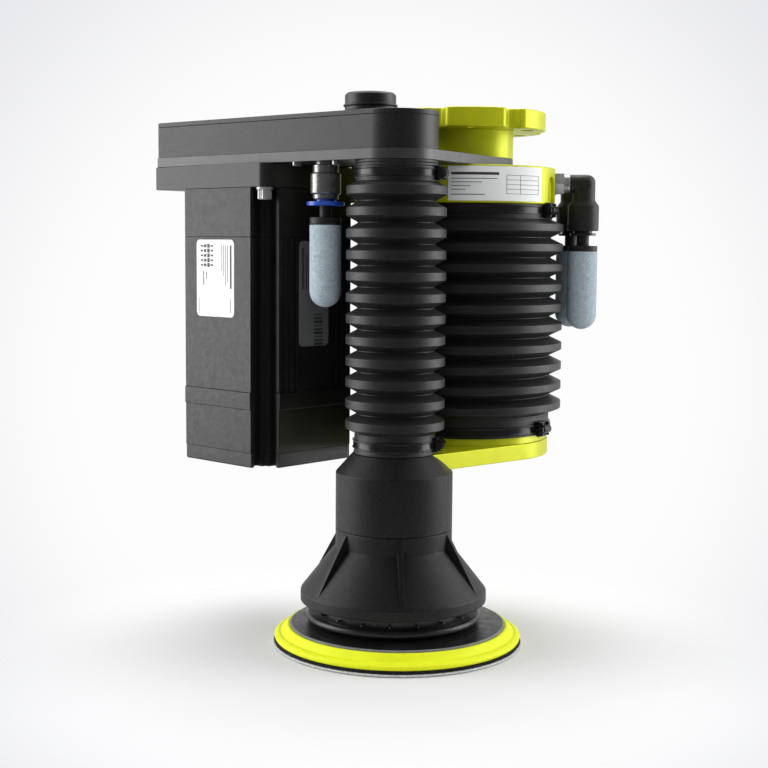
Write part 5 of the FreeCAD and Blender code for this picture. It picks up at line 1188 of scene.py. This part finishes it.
@dataclass
class Studio:
    """Pale floor, soft lights and the camera. Lengths are in metres, levels in millimetres."""

    floor_level: float = -321.4
    floor_size: float = 14.0
    floor_drop: float = 0.0003
    floor_lift: float = 0.04
    fade_shift: float = 0.07
    fade: Place = (0.09, 0.3)
    middle: Triple = (0.0, -0.05, -0.16)
    camera_at: Triple = (0.5732, -0.6968, -0.0850)
    heading: Place = (-0.6794, 0.7337)
    pitch: float = 5.65
    roll: float = 0.46
    lens: float = 65.1
    sensor: float = 36.0
    near: float = 0.01
    backdrop: Colour = (0.98, 0.98, 0.98)
    # painted shade: the colour that the backdrop darkens to towards the corners of the view
    corner: Colour = (0.78, 0.785, 0.82)
    corner_rise: Place = (0.2, 0.42)
    room: Colour = (0.08, 0.08, 0.08)
    room_rise: Place = (1.1, 1.75)
    sky_rise: Place = (0.5, 1.8)
    sky: Place = (0.3, 0.85)
    lamps: tuple = (("left_box", (-1.25, 0.05, 0.3), (0.9, 1.3), 15.0),
                    ("right_box", (1.25, 0.15, 0.3), (0.8, 1.3), 12.3),
                    ("top_box", (0.0, 0.55, 1.3), (1.2, 0.8), 15.5))

    def forward(self) -> Vector:
        """Give the direction that the camera looks in."""
        tilt = math.radians(self.pitch)
        return Vector((self.heading[0] * math.cos(tilt), self.heading[1] * math.cos(tilt), -math.sin(tilt)))

    def floor(self) -> None:
        """Lay the pale floor."""
        mesh = bmesh.new()
        bmesh.ops.create_grid(mesh, x_segments=1, y_segments=1, size=self.floor_size)
        placed(mesh, Matrix.Translation((0, 0, self.floor_level * MM - self.floor_drop)))
        data = bpy.data.meshes.new("floor")
        mesh.to_mesh(data)
        mesh.free()
        obj = linked("floor", data)
        data.materials.append(self.floor_material())

    def floor_material(self) -> bpy.types.Material:
        """Give the floor a pale finish that fades into the backdrop away from the object.

        Returns:
            The material.
        """
        material = bpy.data.materials.new(FLOOR.name)
        board = Board(material)
        spot = board.spot()
        seen = board.node("ShaderNodeLightPath").outputs["Is Camera Ray"]
        shader = board.tree.nodes["Principled BSDF"]
        board.feed(shader, {
            "Base Color": FLOOR.colouring(board, spot), "Roughness": 0.9, "Specular IOR Level": 0.1,
            "Emission Color": (1.0, 1.0, 1.0, 1.0),
            "Emission Strength": board.ranged(seen, 0.0, 1.0, 0.0, self.floor_lift)})
        centre = [place * MM - way * self.fade_shift for place, way in zip(SPINDLE_AXIS, self.heading)]
        reach = board.distance(spot, (*centre, self.floor_level * MM))
        clear = board.node("ShaderNodeBsdfTransparent")
        mask = board.ranged(reach, *self.fade, rise="SMOOTHSTEP")
        board.blended(mask, shader.outputs[0], clear.outputs[0], "Material Output")
        return material

    def world(self) -> None:
        """Give a dim sky that camera, gloss and glass see as a white backdrop, with painted shade that darkens its
        corners.
        """
        world = bpy.data.worlds.new("studio")
        bpy.context.scene.world = world
        board = Board(world)
        path = board.node("ShaderNodeLightPath").outputs
        seen = path["Is Camera Ray"]
        for name in ("Is Glossy Ray", "Is Transmission Ray"):
            seen = board.node("ShaderNodeMath", {0: seen, 1: path[name]}, operation="MAXIMUM").outputs[0]
        toward = board.distance(board.spot(), self.forward())
        # painted shade darkens the backdrop away from the view's centre
        corner = board.ranged(toward, *self.corner_rise, rise="SMOOTHSTEP")
        tint = board.mixed(corner, (*self.backdrop, 1.0), self.corner)
        behind = {0: board.ranged(toward, *self.room_rise, rise="SMOOTHSTEP"), 1: path["Is Camera Ray"]}
        unseen = board.node("ShaderNodeMath", behind, operation="SUBTRACT", use_clamp=True)
        background = board.tree.nodes["Background"]
        board.feed(background, {"Color": board.mixed(unseen.outputs[0], tint, self.room)})
        strength = board.ranged(toward, *self.sky_rise, *self.sky)
        fill = board.node("ShaderNodeBackground", {"Strength": strength})
        board.blended(seen, fill.outputs[0], background.outputs[0], "World Output")

    def lamp(self, name: str, at: Triple, size: Place, power: float) -> None:
        """Hang one soft box that faces the object.

        Args:
            name: Name of the lamp.
            at: Place relative to the camera's view: right, away and up, in metres.
            size: Width and height in metres.
            power: Power in watts.
        """
        light = bpy.data.lights.new(name, "AREA")
        light.shape = "RECTANGLE"
        light.size, light.size_y = size
        light.energy = power
        obj = linked(name, light)
        right = Vector((self.heading[1], -self.heading[0], 0))
        away = Vector((*self.heading, 0))
        middle = Vector(self.middle)
        obj.location = middle + right * at[0] + away * at[1] + Vector((0, 0, at[2]))
        obj.rotation_euler = (middle - obj.location).to_track_quat("-Z", "Y").to_euler()

    def camera(self) -> None:
        """Set the camera where the photograph was taken from."""
        data = bpy.data.cameras.new("camera")
        data.lens, data.sensor_width, data.clip_start = self.lens, self.sensor, self.near
        obj = linked("camera", data)
        turn = self.forward().to_track_quat("-Z", "Y").to_matrix().to_4x4()
        roll = Matrix.Rotation(math.radians(self.roll), 4, "Z")
        obj.matrix_world = Matrix.Translation(self.camera_at) @ turn @ roll
        bpy.context.scene.camera = obj

    def build(self) -> None:
        """Set up the whole studio."""
        bpy.context.scene.view_settings.view_transform = "Standard"
        self.floor()
        self.world()
        for lamp in self.lamps:
            self.lamp(*lamp)
        self.camera()


def main() -> None:
    """Build every sub-assembly in order."""
    logging.basicConfig(level=logging.INFO)
    Studio().build()
    BeltHousing().build()
    MotorUnit().build()
    Actuator().build()
    BellowsSleeve("small_bellows", SPINDLE_AXIS, top=PLATE_BOTTOM, bottom=ARM_TOP, top_cuff=11.0, bottom_cuff=11.0,
                  lead=6.3, rings=12, tip=29.5, valley=22.7, rim=4.8, seat=22.0).build()
    BellowsSleeve("large_bellows", FLANGE_AXIS, top=-58.0, bottom=-202.7, top_cuff=8.2, bottom_cuff=11.5,
                  lead=6.2, rings=10, tip=61.7, valley=53.6, rim=4.4, seat=52.2, steps=208).build()
    BandClamp("small_upper_clamp", Body.HEAD, SPINDLE_AXIS, 22.0, -42.2, 30.0).build()
    BandClamp("small_lower_clamp", Body.CARRIAGE, SPINDLE_AXIS, 22.0, -201.2, 33.0).build()
    BandClamp("large_upper_clamp", Body.HEAD, FLANGE_AXIS, 52.2, -61.8, 14.0, housing=9.8, rise=0.6).build()
    BandClamp("large_lower_clamp", Body.CARRIAGE, FLANGE_AXIS, 52.2, -198.5, 9.0, housing=9.8, rise=0.6).build()
    CarriageArm().build()
    Shroud().build()
    SandingPad().build()
    Fittings().build()
    dress_inner()


if __name__ == "__main__":
    main()
